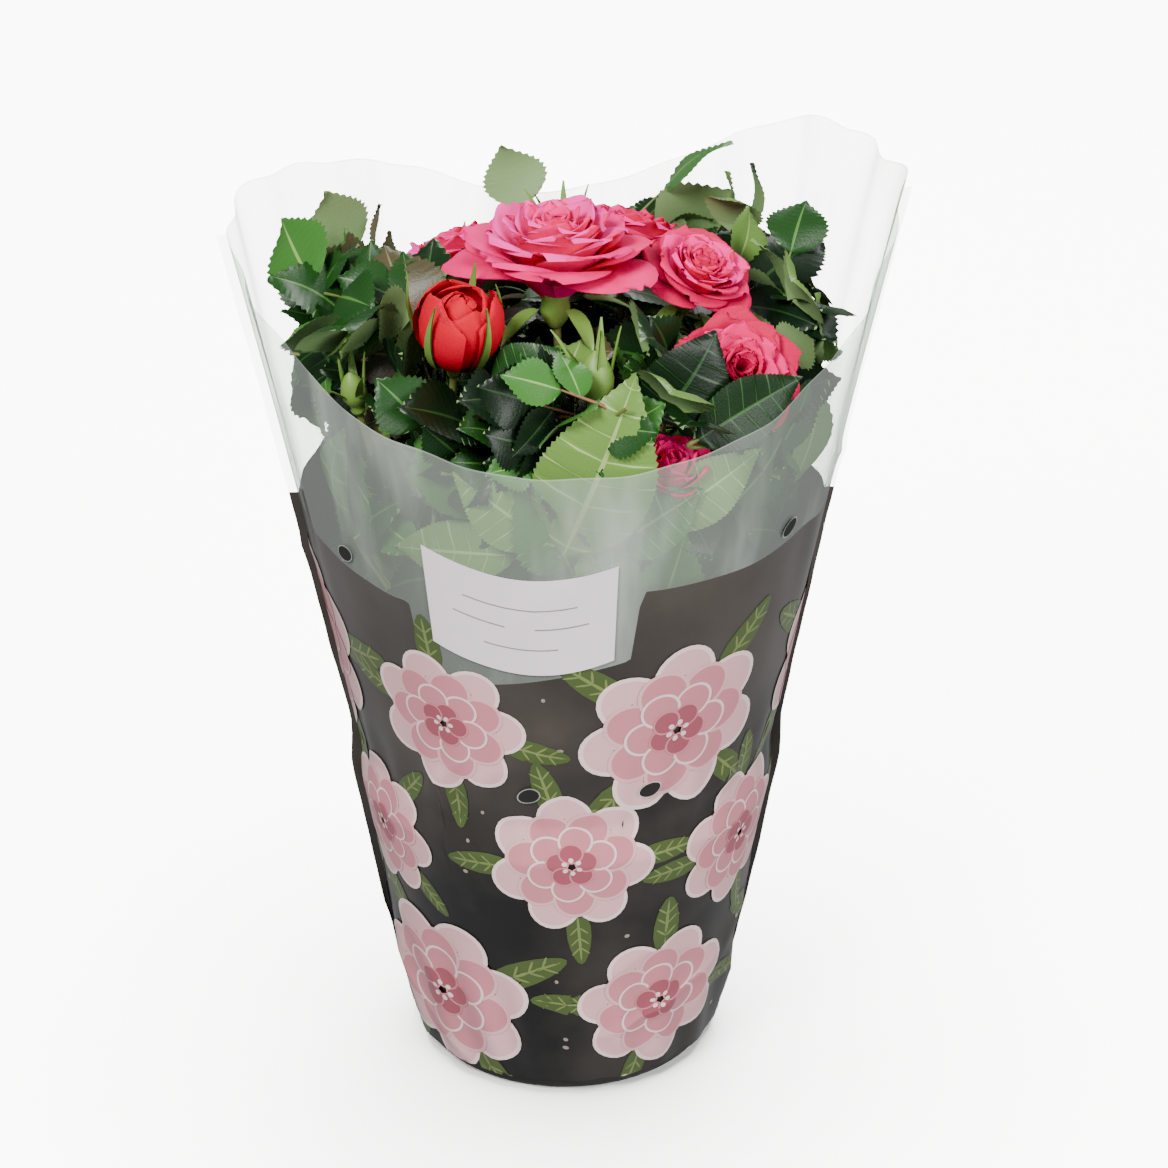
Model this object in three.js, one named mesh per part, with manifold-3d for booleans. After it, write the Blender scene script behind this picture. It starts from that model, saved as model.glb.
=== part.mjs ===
// A miniature rose bush in its pot: a plastic pot of soil, four pruned canes, boughs that carry masses of
// compound leaves, blooms and buds on their stalks, and a flared sleeve of clear film round it all.
// Millimetres, +Z up. The origin is the middle of the pot's flat underside, and the front faces -Y.

import * as THREE from "three";
import { mergeVertices } from "three/addons/utils/BufferGeometryUtils.js";
import Module from "manifold-3d";

const wasm = await Module();
wasm.setup();

const UP = new THREE.Vector3(0, 0, 1);
const ANY_SIDE = new THREE.Vector3(1, 0.13, 0.07).normalize();
const GOLDEN_TURN = 137.5; // degrees from one leaf to the next round a twig
const TURN_SPREAD = 20;
const GAP = 0.3; // between pieces that touch on the real plant

const POT = {
  height: 113,
  rimRadius: 67,
  rimDepth: 10,
  neckRadius: 64,
  footRadius: 48,
  wall: 1.6,
  floor: 2.4,
  sides: 40,
};
const DRAIN = { count: 6, radius: 4, reach: 34, sides: 10 };
const SOIL = { top: 102, edgeDip: 3, flatRadius: 46 };

// The sleeve is two sheets of film welded at the left and right seams, so its rim has a point at each seam,
// and dips between them at the front and at the back.
const SLEEVE = {
  hem: 5,
  hemRadius: 51,
  flare: 0.176, // radius gained for each millimetre of height above the pot
  frontRim: 256,
  rightRim: 308,
  leftRim: 296,
  backRim: 262,
  seamReach: 0.06, // share by which the rim's section runs out towards its seams
  wall: 0.8,
};
// Where the film lies against the pot's rim.
const SNUG = {
  bottom: POT.height - POT.rimDepth - 3,
  top: POT.height + 2,
  radius: POT.rimRadius + GAP + SLEEVE.wall,
};

const CANE = {
  count: 4,
  firstTurn: 38,
  footReach: 14,
  tipReach: 27,
  tip: 192,
  lower: 9, // by which every other cane is cut lower
  bend: { turn: 10, height: 0.6 },
  tipTurn: 4,
  steps: 5,
  sides: 8,
};
const CANE_RADII = { foot: 4.6, neck: 3.3, tip: 2.4, neckRise: 7 };
// A stalk or bough starts at the first of these shares of a cane's length from which it finds a way.
const START = { first: 0.96, last: 0.15, step: 0.06, below: 5, canes: 3, bends: [0.45, 0.6, 0.3, 0.75] };
const BOUGH = { startRadius: 1.9, endRadius: 1.4, steps: 3, sides: 5 };
const STALK = { startRadius: 1.7, endRadius: 1.25, steps: 5, sides: 5 };

// Foliage fills the space between the pot's rim and the crown's top, inside the film.
const CROWN = { bottom: 117, top: 294, filmClearance: 1.6, cellClearance: 0.4, limbClearance: 0.9 };
const RINGS = [
  { name: "low", count: 4, reach: 40, height: 155, turn: 83, leaves: 8 },
  { name: "upper", count: 6, reach: 64, height: 240, turn: -14, leaves: 10 },
];
const MASS = { entryDrop: 45, entryReach: 26, entryStep: 1, entryRoom: 2.4, wander: 14, attempts: 400 };
const STEM = { radius: 1.3, endRadius: 0.8, sides: 3, steps: 3, onward: 0.25, rise: 10 };
const TWIG = { count: 3, length: 30, shortest: 0.6, attempts: 24, outward: 0.2, sag: 2 };
// A compound leaf spreads its leaflets round a middle on its rachis. Lengths are shares of the leaf's reach,
// from that middle to the tip of the end leaflet, and turns are degrees from the way it points.
const LEAF = {
  reach: 44,
  spread: 0.16, // share by which the reach varies
  least: 0.6, // share of it that the smallest leaves have
  petiole: 0.4,
  petioleRadii: [0.38, 0.85, 0.43],
  petioleRise: 0.4,
  thickness: 1.7,
  notch: 0.085, // how near to the middle the gaps between leaflets come
  rootShare: 0.4, // how far out towards a gap the petiole is rooted
  droop: 0.1,
  sideLift: 0.03,
  tilt: 0.3, // how far the blade's face leans outward from straight up
  lift: [0.05, 1.1], // least and greatest rise of a leaf for each unit that it reaches outward
  outward: 0.6, // pull of the leaves towards the crown's outside
  headMargin: 1.2,
};
const LEAFLETS = [
  { turn: -113, reach: 0.7, widest: 0.38, half: 0.15 },
  { turn: -59, reach: 0.72, widest: 0.38, half: 0.17 },
  { turn: 0, reach: 1, widest: 0.5, half: 0.25 },
  { turn: 59, reach: 0.72, widest: 0.38, half: 0.17 },
  { turn: 113, reach: 0.7, widest: 0.38, half: 0.15 },
];
const END_LEAFLET = 2;
const NOTCH_TURNS = [-140, -87, -29, 29, 87, 140];

const FIRST_HEAD_SEED = 3;

const COLORS = {
  pot: 0x2b2a28,
  soil: 0x33261c,
  film: 0xdfe6e2,
  cane: 0x6f7a3c,
  bough: 0x5f7d35,
  leaves: [0x2a5a26, 0x32652b, 0x3f7431, 0x27522a],
  pink: 0xec5c93,
  rose: 0xe8366a,
  red: 0xe2372f,
  green: 0x7c9a45,
};

// Each head's middle is at a turn from the front towards the right, a reach and a height. Its lean is a turn
// and the degrees by which it tips over that way.
const HEADS = {
  bloom_open_front: { kind: "open", radius: 30, at: [-15, 15, 306], lean: [180, 9], color: "pink" },
  bud_red_front: { kind: "half", radius: 14.5, at: [-35, 60, 288], lean: [30, 14], color: "red" },
  bloom_right_upper: { kind: "open", radius: 20.5, at: [74, 46, 291], lean: [60, 24], color: "rose" },
  bloom_right_lower: { kind: "half", radius: 18, at: [48, 73, 272], lean: [20, 46], color: "rose" },
  bud_green_front: { kind: "green", radius: 6.4, at: [6, 66, 277], lean: [200, 4], color: "green" },
  bud_green_left: { kind: "green", radius: 4.8, at: [-58, 80, 262], lean: [-60, 12], color: "green" },
  bloom_small_front: { kind: "half", radius: 11, at: [24, 74, 247], lean: [24, 26], color: "rose" },
  bloom_back_left: { kind: "open", radius: 23, at: [-142, 58, 270], lean: [-142, 30], color: "pink" },
  bloom_back_right: { kind: "open", radius: 22, at: [150, 50, 277], lean: [150, 24], color: "rose" },
  bud_red_left: { kind: "half", radius: 11, at: [-98, 66, 262], lean: [-98, 22], color: "red" },
  bud_green_back: { kind: "green", radius: 6, at: [178, 72, 258], lean: [178, 16], color: "green" },
};

function place(turn, reach, height) {
  const angle = THREE.MathUtils.degToRad(turn);
  return new THREE.Vector3(reach * Math.sin(angle), -reach * Math.cos(angle), height);
}

function seededRandom(seed) {
  let state = seed;
  return () => {
    state = (Math.imul(state, 1664525) + 1013904223) >>> 0;
    return state / 4294967296;
  };
}

function mix(a, b, share) {
  return a + (b - a) * share;
}

// Solids and meshes

function solidFrom(geometry) {
  const bare = new THREE.BufferGeometry();
  bare.setAttribute("position", geometry.getAttribute("position"));
  bare.setIndex(geometry.index);
  const merged = mergeVertices(bare, 1e-4);
  const corners = [];
  for (let i = 0; i < merged.index.count; i += 3) {
    const [a, b, c] = [0, 1, 2].map((k) => merged.index.getX(i + k));
    if (a !== b && b !== c && c !== a) corners.push(a, b, c);
  }
  const vertProperties = new Float32Array(merged.getAttribute("position").array);
  const triVerts = new Uint32Array(corners);
  return new wasm.Manifold(new wasm.Mesh({ numProp: 3, vertProperties, triVerts }));
}

function solidFromPoints(points, faces) {
  const geometry = new THREE.BufferGeometry().setFromPoints(points);
  geometry.setIndex(faces.flat());
  return solidFrom(geometry);
}

function meshFrom(name, solid, color, roughness) {
  const { numProp, vertProperties, triVerts } = solid.getMesh();
  const positions = [];
  for (let i = 0; i < vertProperties.length; i += numProp) {
    positions.push(...vertProperties.subarray(i, i + 3));
  }
  const geometry = new THREE.BufferGeometry();
  geometry.setAttribute("position", new THREE.Float32BufferAttribute(positions, 3));
  geometry.setIndex(Array.from(triVerts));
  const flat = geometry.toNonIndexed();
  flat.computeVertexNormals();
  const mesh = new THREE.Mesh(flat, new THREE.MeshStandardMaterial({ color, roughness, metalness: 0 }));
  mesh.name = name;
  return mesh;
}

// Joins pieces into one body, and drops any scrap that came loose.
function fuse(solids) {
  const whole = wasm.Manifold.union(solids).simplify(0.04);
  const bodies = whole.decompose();
  return bodies.reduce((most, body) => (body.volume() > most.volume() ? body : most));
}

// A limb of round section along a line of points, cut flat at both ends, with an edge on the side it faces.
function limbSolid({ points, radii, facing = ANY_SIDE }, sides) {
  const rings = [];
  const across = facing.clone();
  points.forEach((point, i) => {
    const before = points[Math.max(i - 1, 0)];
    const after = points[Math.min(i + 1, points.length - 1)];
    const ahead = after.clone().sub(before).normalize();
    across.addScaledVector(ahead, -across.dot(ahead)).normalize();
    const side = new THREE.Vector3().crossVectors(ahead, across);
    for (let k = 0; k < sides; k++) {
      const angle = (2 * Math.PI * k) / sides;
      const ringPoint = point.clone();
      ringPoint.addScaledVector(across, radii[i] * Math.cos(angle));
      ringPoint.addScaledVector(side, radii[i] * Math.sin(angle));
      rings.push(ringPoint);
    }
  });
  const faces = [];
  const last = (points.length - 1) * sides;
  for (let k = 1; k < sides - 1; k++) {
    faces.push([0, k + 1, k]);
    faces.push([last, last + k, last + k + 1]);
  }
  for (let i = 0; i < points.length - 1; i++) {
    for (let k = 0; k < sides; k++) {
      const a = i * sides + k;
      const b = i * sides + ((k + 1) % sides);
      faces.push([a, b, b + sides]);
      faces.push([a, b + sides, a + sides]);
    }
  }
  return solidFromPoints(rings, faces);
}

// A thin blade: a fan of faces on each side of its outline, thickest in the middle.
function bladeSolid(outline, middle, normal, thickness) {
  const points = [
    ...outline,
    middle.clone().addScaledVector(normal, thickness / 2),
    middle.clone().addScaledVector(normal, -thickness / 2),
  ];
  const count = outline.length;
  const faces = [];
  for (let i = 0; i < count; i++) {
    const next = (i + 1) % count;
    faces.push([count, i, next]);
    faces.push([count + 1, next, i]);
  }
  return solidFromPoints(points, faces);
}

// Pot, soil and sleeve

function potSolid() {
  const { height, rimRadius, rimDepth, neckRadius, footRadius, wall, floor, sides } = POT;
  const underRim = height - rimDepth;
  const profile = [
    [0, 0],
    [footRadius, 0],
    [neckRadius, underRim],
    [rimRadius, underRim],
    [rimRadius, height],
    [rimRadius - wall, height],
    [neckRadius - wall, underRim],
    [footRadius - wall, floor],
    [0, floor],
  ];
  const points = profile.map(([x, y]) => new THREE.Vector2(x, y));
  let pot = solidFrom(new THREE.LatheGeometry(points, sides).rotateX(Math.PI / 2));
  for (let i = 0; i < DRAIN.count; i++) {
    const hole = new THREE.CylinderGeometry(DRAIN.radius, DRAIN.radius, 4 * floor, DRAIN.sides);
    hole.rotateX(Math.PI / 2);
    const at = place((360 * i) / DRAIN.count, DRAIN.reach, 0);
    hole.translate(at.x, at.y, at.z);
    pot = pot.subtract(solidFrom(hole));
  }
  return pot;
}

function soilSolid() {
  const inside = (z) => mix(POT.footRadius, POT.neckRadius, z / (POT.height - POT.rimDepth)) - POT.wall;
  const bottom = POT.floor + GAP;
  const edge = SOIL.top - SOIL.edgeDip;
  const profile = [
    [0, bottom],
    [inside(bottom) - 2 * GAP, bottom],
    [inside(edge) - 2 * GAP, edge],
    [SOIL.flatRadius, SOIL.top],
    [0, SOIL.top],
  ];
  const points = profile.map(([x, y]) => new THREE.Vector2(x, y));
  return solidFrom(new THREE.LatheGeometry(points, POT.sides).rotateX(Math.PI / 2));
}

// The film runs straight from its hem to the pot's rim, lies snug against the rim and flares above it.
function filmRadius(z) {
  if (z > SNUG.top) return SNUG.radius + (z - SNUG.top) * SLEEVE.flare;
  if (z > SNUG.bottom) return SNUG.radius;
  return mix(SLEEVE.hemRadius, SNUG.radius, (z - SLEEVE.hem) / (SNUG.bottom - SLEEVE.hem));
}

function rimHeight(angle) {
  const front = Math.cos(angle);
  const seamRim = Math.sin(angle) < 0 ? SLEEVE.leftRim : SLEEVE.rightRim;
  if (front > 0) return mix(SLEEVE.frontRim, seamRim, (1 - front) ** 1.2);
  return mix(seamRim, SLEEVE.backRim, front ** 4);
}

// A point of the film's outer face; angle runs from the front towards the right.
function filmPoint(angle, z, inset) {
  const opening = THREE.MathUtils.clamp((z - SNUG.top) / (SLEEVE.rightRim - SNUG.top), 0, 1);
  const point = SLEEVE.seamReach * opening * Math.abs(Math.sin(angle)) ** 7;
  const radius = filmRadius(z) * (1 + point) - inset;
  return new THREE.Vector3(radius * Math.sin(angle), -radius * Math.cos(angle), z);
}

function sleeveSolid() {
  const levels = [SLEEVE.hem, SNUG.bottom, SNUG.top, 0, 0, 0];
  const firstOpen = 2;
  const columns = [];
  for (let k = 0; k < POT.sides; k++) {
    const angle = (2 * Math.PI * k) / POT.sides;
    const rim = rimHeight(angle);
    const heights = levels.map((z, i) => {
      const share = (i - firstOpen) / (levels.length - 1 - firstOpen);
      return i > firstOpen ? mix(SNUG.top, rim, share) : z;
    });
    const outer = heights.map((z) => filmPoint(angle, z, 0));
    const inner = heights.map((z) => filmPoint(angle, z, SLEEVE.wall)).reverse();
    columns.push([...outer, ...inner]);
  }
  const loop = columns[0].length;
  const faces = [];
  for (let k = 0; k < POT.sides; k++) {
    const next = (k + 1) % POT.sides;
    for (let i = 0; i < loop; i++) {
      const above = (i + 1) % loop;
      const [a, b, c, d] = [k * loop + i, next * loop + i, next * loop + above, k * loop + above];
      faces.push([a, b, c]);
      faces.push([a, c, d]);
    }
  }
  return solidFromPoints(columns.flat(), faces);
}

// Clearances

// The least distance between the straight stretches a-b and c-d.
function stretchGap(a, b, c, d) {
  const u = b.clone().sub(a);
  const v = d.clone().sub(c);
  const w = a.clone().sub(c);
  const uu = u.dot(u);
  const uv = u.dot(v);
  const vv = v.dot(v);
  const uw = u.dot(w);
  const vw = v.dot(w);
  const spread = uu * vv - uv * uv;
  const clamp = (x) => THREE.MathUtils.clamp(x, 0, 1);
  let s = spread > 1e-9 ? clamp((uv * vw - vv * uw) / spread) : 0;
  let t = (uv * s + vw) / vv;
  if (t < 0 || t > 1) {
    t = clamp(t);
    s = clamp((uv * t - uw) / uu);
  }
  return a.clone().addScaledVector(u, s).distanceTo(c.clone().addScaledVector(v, t));
}

// Whether the stretch a-b goes through the triangle.
function pierces(a, b, [p, q, r]) {
  const way = b.clone().sub(a);
  const side1 = q.clone().sub(p);
  const side2 = r.clone().sub(p);
  const cross = new THREE.Vector3().crossVectors(way, side2);
  const facing = side1.dot(cross);
  if (Math.abs(facing) < 1e-9) return false;
  const from = a.clone().sub(p);
  const u = from.dot(cross) / facing;
  const turned = new THREE.Vector3().crossVectors(from, side1);
  const v = way.dot(turned) / facing;
  const t = side2.dot(turned) / facing;
  return u >= 0 && v >= 0 && u + v <= 1 && t >= 0 && t <= 1;
}

function stretchesOf(limb) {
  const stretches = [];
  for (let i = 0; i < limb.points.length - 1; i++) {
    const radius = Math.max(limb.radii[i], limb.radii[i + 1]);
    stretches.push({ a: limb.points[i], b: limb.points[i + 1], radius, limb });
  }
  return stretches;
}

// Whether a head keeps clear of a point. A head's room is an egg round its middle, flattened along its axis.
function headKeepsOff(head, point, margin) {
  const offset = point.clone().sub(head.room.middle);
  const rise = offset.dot(head.axis);
  const reach = Math.sqrt(Math.max(offset.lengthSq() - rise * rise, 0));
  const wide = reach / (head.room.reach + margin);
  const tall = rise / (head.room.rise + margin);
  return wide * wide + tall * tall > 1;
}

// Canes, stalks and boughs

function curve(start, bend, end, steps) {
  return new THREE.QuadraticBezierCurve3(start, bend, end).getPoints(steps);
}

function canes() {
  const list = [];
  for (let i = 0; i < CANE.count; i++) {
    const turn = CANE.firstTurn + (360 * i) / CANE.count;
    const foot = place(turn, CANE.footReach, SOIL.top + GAP);
    const neck = foot.clone().addScaledVector(UP, CANE_RADII.neckRise);
    const bend = place(turn + CANE.bend.turn, CANE.footReach, mix(SOIL.top, CANE.tip, CANE.bend.height));
    const tip = place(turn + CANE.tipTurn, CANE.tipReach, CANE.tip - CANE.lower * (i % 2));
    const points = [foot, ...curve(neck, bend, tip, CANE.steps)];
    const radii = points.map((_, k) => {
      const share = Math.max(k - 1, 0) / CANE.steps;
      return k === 0 ? CANE_RADII.foot : mix(CANE_RADII.neck, CANE_RADII.tip, share);
    });
    list.push({ name: `cane_${i + 1}`, points, radii });
  }
  return list;
}

// A point of a limb's axis and its radius there, a share of the way along its points.
function along(limb, share) {
  const position = share * (limb.points.length - 1);
  const i = Math.min(Math.floor(position), limb.points.length - 2);
  const point = limb.points[i].clone().lerp(limb.points[i + 1], position - i);
  return { point, radius: mix(limb.radii[i], limb.radii[i + 1], position - i) };
}

function clearOf(limbs, heads, candidate, ownHead) {
  for (const stretch of stretchesOf(candidate)) {
    for (const limb of limbs) {
      for (const other of stretchesOf(limb)) {
        const room = stretch.radius + other.radius + GAP / 2;
        if (stretchGap(stretch.a, stretch.b, other.a, other.b) < room) return false;
      }
    }
    const middle = stretch.a.clone().lerp(stretch.b, 0.5);
    for (const head of heads) {
      if (head === ownHead) continue;
      const near = [stretch.a, middle, stretch.b];
      if (!near.every((point) => headKeepsOff(head, point, stretch.radius + 1))) return false;
    }
  }
  return true;
}

// The first way from the side of a cane to an end that touches nothing on the way.
function shoot(name, stems, limbs, heads, end, arrival, size, ownHead) {
  const nearest = [...stems].sort((p, q) => {
    return along(p, 1).point.distanceTo(end) - along(q, 1).point.distanceTo(end);
  });
  for (const lift of START.bends) {
    for (const cane of nearest.slice(0, START.canes)) {
      for (let share = START.first; share > START.last; share -= START.step) {
        const { point, radius } = along(cane, share);
        if (point.z > end.z - START.below) continue;
        const out = end.clone().sub(point).setZ(0).normalize();
        const start = point.clone().addScaledVector(out, radius + GAP + size.startRadius);
        const bend = end.clone().addScaledVector(arrival, -lift * start.distanceTo(end));
        const points = curve(start, bend, end, size.steps);
        const radii = points.map((_, i) => mix(size.startRadius, size.endRadius, i / size.steps));
        const candidate = { name, points, radii, facing: out.clone().negate() };
        if (!clearOf(limbs, heads, candidate, ownHead)) continue;
        const slant = points[1].clone().sub(start).angleTo(out);
        start.addScaledVector(out, size.startRadius * (Math.sin(slant) - 1));
        points[0].copy(start);
        return candidate;
      }
    }
  }
  throw new Error(`${name} finds no way to ${end.toArray().map(Math.round)}`);
}

// Heads of flowers

const SEPAL_THICKNESS = 1;
const STEPS_PER_PETAL = 4;
const EDGE_DROOP = 0.4; // drop of a petal's edge for each unit that it swings in or out

// Each profile point of a flower is its reach and height in radii, then how far its edge swings in and out.
// Tiers of petals stand out as such edges, with a valley between one tier and the next.
const HEAD_SHAPES = {
  open: {
    petals: 6,
    depth: 0.8,
    room: { reach: 1.12, rise: 0.9, shift: -0.28 },
    tiers: [
      [0.13, -0.86, 0],
      [0.18, -0.72, 0],
      [0.62, -0.55, 0.04],
      [0.95, -0.34, 0.1],
      [0.6, -0.2, 0],
      [0.7, 0.06, -0.09],
      [0.38, -0.02, 0],
      [0.42, 0.2, 0.08],
      [0.17, 0.08, 0],
    ],
    top: 0.2,
    sepals: { count: 5, lean: 108, length: 0.55, width: 0.16 },
  },
  half: {
    petals: 5,
    depth: 1.1,
    room: { reach: 1.2, rise: 1.3, shift: -0.2 },
    tiers: [
      [0.25, -1.2, 0],
      [0.4, -1.06, 0],
      [0.86, -0.6, 0.03],
      [0.92, 0.18, 0.1],
      [0.66, 0.14, 0],
      [0.56, 0.62, -0.09],
      [0.3, 0.5, 0],
    ],
    top: 0.72,
    sepals: { count: 5, lean: 62, length: 1, width: 0.28 },
  },
  green: {
    petals: 4,
    depth: 1.4,
    room: { reach: 1.3, rise: 2.2, shift: 0.3 },
    tiers: [
      [0.3, -1.7, 0],
      [0.62, -1.3, 0],
      [0.5, -0.9, 0],
      [0.98, 0.1, 0],
      [0.6, 1, 0],
    ],
    top: 1.6,
    sepals: { count: 5, lean: 12, length: 3.2, width: 0.9 },
  },
};

function headFrom(name, { kind, radius, at, lean, color }, seed) {
  const shape = HEAD_SHAPES[kind];
  const middle = place(...at);
  const sideways = place(lean[0], 1, 0);
  const tilt = THREE.MathUtils.degToRad(lean[1]);
  const axis = UP.clone().multiplyScalar(Math.cos(tilt)).addScaledVector(sideways, Math.sin(tilt));
  const foot = middle.clone().addScaledVector(axis, -shape.depth * radius);
  const { reach, rise, shift } = shape.room;
  const room = {
    middle: middle.clone().addScaledVector(axis, shift * radius),
    reach: reach * radius,
    rise: rise * radius,
  };
  return { name, kind, shape, radius, axis, foot, room, color, random: seededRandom(seed) };
}

// A narrow sepal that leans out from the head's foot.
function sepalSolid({ lean, length, width }, turn, size) {
  const angle = THREE.MathUtils.degToRad(turn);
  const tilt = THREE.MathUtils.degToRad(lean);
  const out = new THREE.Vector3(Math.cos(angle), Math.sin(angle), 0);
  const side = new THREE.Vector3(-Math.sin(angle), Math.cos(angle), 0);
  const rise = UP.clone().multiplyScalar(Math.cos(tilt)).addScaledVector(out, Math.sin(tilt));
  const face = out.clone().multiplyScalar(Math.cos(tilt)).addScaledVector(UP, -Math.sin(tilt));
  const at = (share, across) => {
    const point = new THREE.Vector3().addScaledVector(rise, share * length * size);
    return point.addScaledVector(side, (across * width * size) / 2);
  };
  return bladeSolid([at(0, 0), at(0.35, 1), at(1, 0), at(0.35, -1)], at(0.4, 0), face, SEPAL_THICKNESS);
}

// A flower's body as one closed form: rings of points whose edges swing in and out once for each petal.
function rosetteSolid({ tiers, top, petals, depth }, size, random) {
  const columns = STEPS_PER_PETAL * petals;
  const points = [];
  tiers.forEach(([reach, height, swing]) => {
    const firstStep = Math.round(STEPS_PER_PETAL * random());
    for (let k = 0; k < columns; k++) {
      const wave = swing * Math.cos((2 * Math.PI * (k + firstStep)) / STEPS_PER_PETAL);
      const angle = (2 * Math.PI * k) / columns;
      const radius = (reach + wave) * size;
      const rise = (height + depth - EDGE_DROOP * Math.abs(wave)) * size;
      points.push(new THREE.Vector3(radius * Math.cos(angle), radius * Math.sin(angle), rise));
    }
  });
  const bottomPoint = points.length;
  points.push(new THREE.Vector3(0, 0, (tiers[0][1] + depth) * size));
  points.push(new THREE.Vector3(0, 0, (top + depth) * size));
  const faces = [];
  for (let k = 0; k < columns; k++) {
    const next = (k + 1) % columns;
    for (let i = 0; i < tiers.length - 1; i++) {
      const below = i * columns;
      const above = below + columns;
      faces.push([below + k, below + next, above + next]);
      faces.push([below + k, above + next, above + k]);
    }
    const last = (tiers.length - 1) * columns;
    faces.push([bottomPoint, next, k]);
    faces.push([bottomPoint + 1, last + k, last + next]);
  }
  return solidFromPoints(points, faces);
}

function headSolid(head) {
  const { shape, radius, random } = head;
  const pieces = [rosetteSolid(shape, radius, random)];
  const first = 360 * random();
  for (let i = 0; i < shape.sepals.count; i++) {
    pieces.push(sepalSolid(shape.sepals, first + (360 * i) / shape.sepals.count, radius));
  }
  const turned = new THREE.Quaternion().setFromUnitVectors(UP, head.axis);
  const matrix = new THREE.Matrix4().compose(head.foot, turned, new THREE.Vector3(1, 1, 1));
  return wasm.Manifold.union(pieces).transform(matrix.elements);
}

// Masses of leaves

function massList() {
  const list = [];
  for (const ring of RINGS) {
    for (let i = 0; i < ring.count; i++) {
      const name = `leaves_${ring.name}_${i + 1}`;
      const middle = place(ring.turn + (360 * i) / ring.count, ring.reach, ring.height);
      list.push({ name, middle, leaves: ring.leaves, seed: 100 * list.length + 11 });
    }
  }
  for (const mass of list) {
    mass.walls = list
      .filter((other) => other !== mass)
      .map((other) => {
        const towards = other.middle.clone().sub(mass.middle);
        const far = towards.length();
        return { normal: towards.normalize(), reach: far / 2 - CROWN.cellClearance, from: mass.middle };
      });
  }
  return list;
}

// Whether a point is in the mass's own space: nearer to its middle than to any other, and inside the film.
function inSpace(mass, point) {
  if (point.z < CROWN.bottom || point.z > CROWN.top) return false;
  if (Math.hypot(point.x, point.y) > filmRadius(point.z) - SLEEVE.wall - CROWN.filmClearance) return false;
  return mass.walls.every((wall) => point.clone().sub(wall.from).dot(wall.normal) < wall.reach);
}

// Whether a line of points keeps clear of every limb and head.
function lineIsClear(points, radius, surroundings) {
  for (let i = 0; i < points.length - 1; i++) {
    for (const stretch of surroundings.stretches) {
      const room = radius + stretch.radius + CROWN.limbClearance;
      if (stretchGap(points[i], points[i + 1], stretch.a, stretch.b) < room) return false;
    }
  }
  const between = points.slice(1).map((point, i) => point.clone().lerp(points[i], 0.5));
  return surroundings.heads.every((head) => {
    return [...points, ...between].every((point) => headKeepsOff(head, point, radius + 1));
  });
}

// A leaflet as a kite: its root, two sides and tip, the sides a little lifted and the tip bent down.
function kiteOf(leaf, { turn, reach, widest, half }) {
  const angle = THREE.MathUtils.degToRad(turn);
  const ahead = leaf.forward.clone().multiplyScalar(Math.cos(angle));
  ahead.addScaledVector(leaf.side, Math.sin(angle));
  const across = new THREE.Vector3().crossVectors(leaf.face, ahead);
  const at = (share, sideways, lift) => {
    const point = leaf.middle.clone().addScaledVector(ahead, share * leaf.reach);
    point.addScaledVector(across, sideways * leaf.reach);
    return point.addScaledVector(leaf.face, lift * leaf.reach);
  };
  const low = at(widest, -half, LEAF.sideLift);
  const high = at(widest, half, LEAF.sideLift);
  return [leaf.middle, low, at(reach, 0, -LEAF.droop * reach), high];
}

function goesThrough(stick, [root, low, tip, high]) {
  for (let i = 0; i < stick.length - 1; i++) {
    const [a, b] = [stick[i], stick[i + 1]];
    if (pierces(a, b, [root, low, tip]) || pierces(a, b, [root, tip, high])) return true;
  }
  return false;
}

function edgesOf([root, low, tip, high]) {
  return [[root, low], [low, tip], [tip, high], [high, root], [root, tip]];
}

function cuts(kite, other) {
  const faces = [
    [other[0], other[1], other[2]],
    [other[0], other[2], other[3]],
  ];
  return edgesOf(kite).some(([a, b]) => faces.some((face) => pierces(a, b, face)));
}

// Whether a leaflet keeps to its mass's space and off every limb, head and other leaf.
function kiteIsClear(mass, kite, surroundings, taken) {
  const [root, low, tip, high] = kite;
  if (![low, tip, high].every((point) => inSpace(mass, point))) return false;
  const middle = root.clone().lerp(tip, 0.5);
  const half = root.distanceTo(tip) / 2;
  for (const other of taken.kites) {
    if (other.middle.distanceTo(middle) > half + other.half) continue;
    if (cuts(kite, other.kite) || cuts(other.kite, kite)) return false;
  }
  if (taken.sticks.some((stick) => goesThrough(stick, kite))) return false;
  const edges = edgesOf(kite);
  for (const { a, b, radius } of surroundings.stretches) {
    if (stretchGap(a, b, root, tip) > half + radius) continue;
    if (edges.some(([from, to]) => stretchGap(from, to, a, b) < radius + CROWN.limbClearance)) return false;
    if (goesThrough([a, b], kite)) return false;
  }
  const points = edges.flatMap(([from, to]) => [to, from.clone().lerp(to, 0.5)]);
  return surroundings.heads.every((head) => {
    return points.every((point) => headKeepsOff(head, point, LEAF.headMargin));
  });
}

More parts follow.
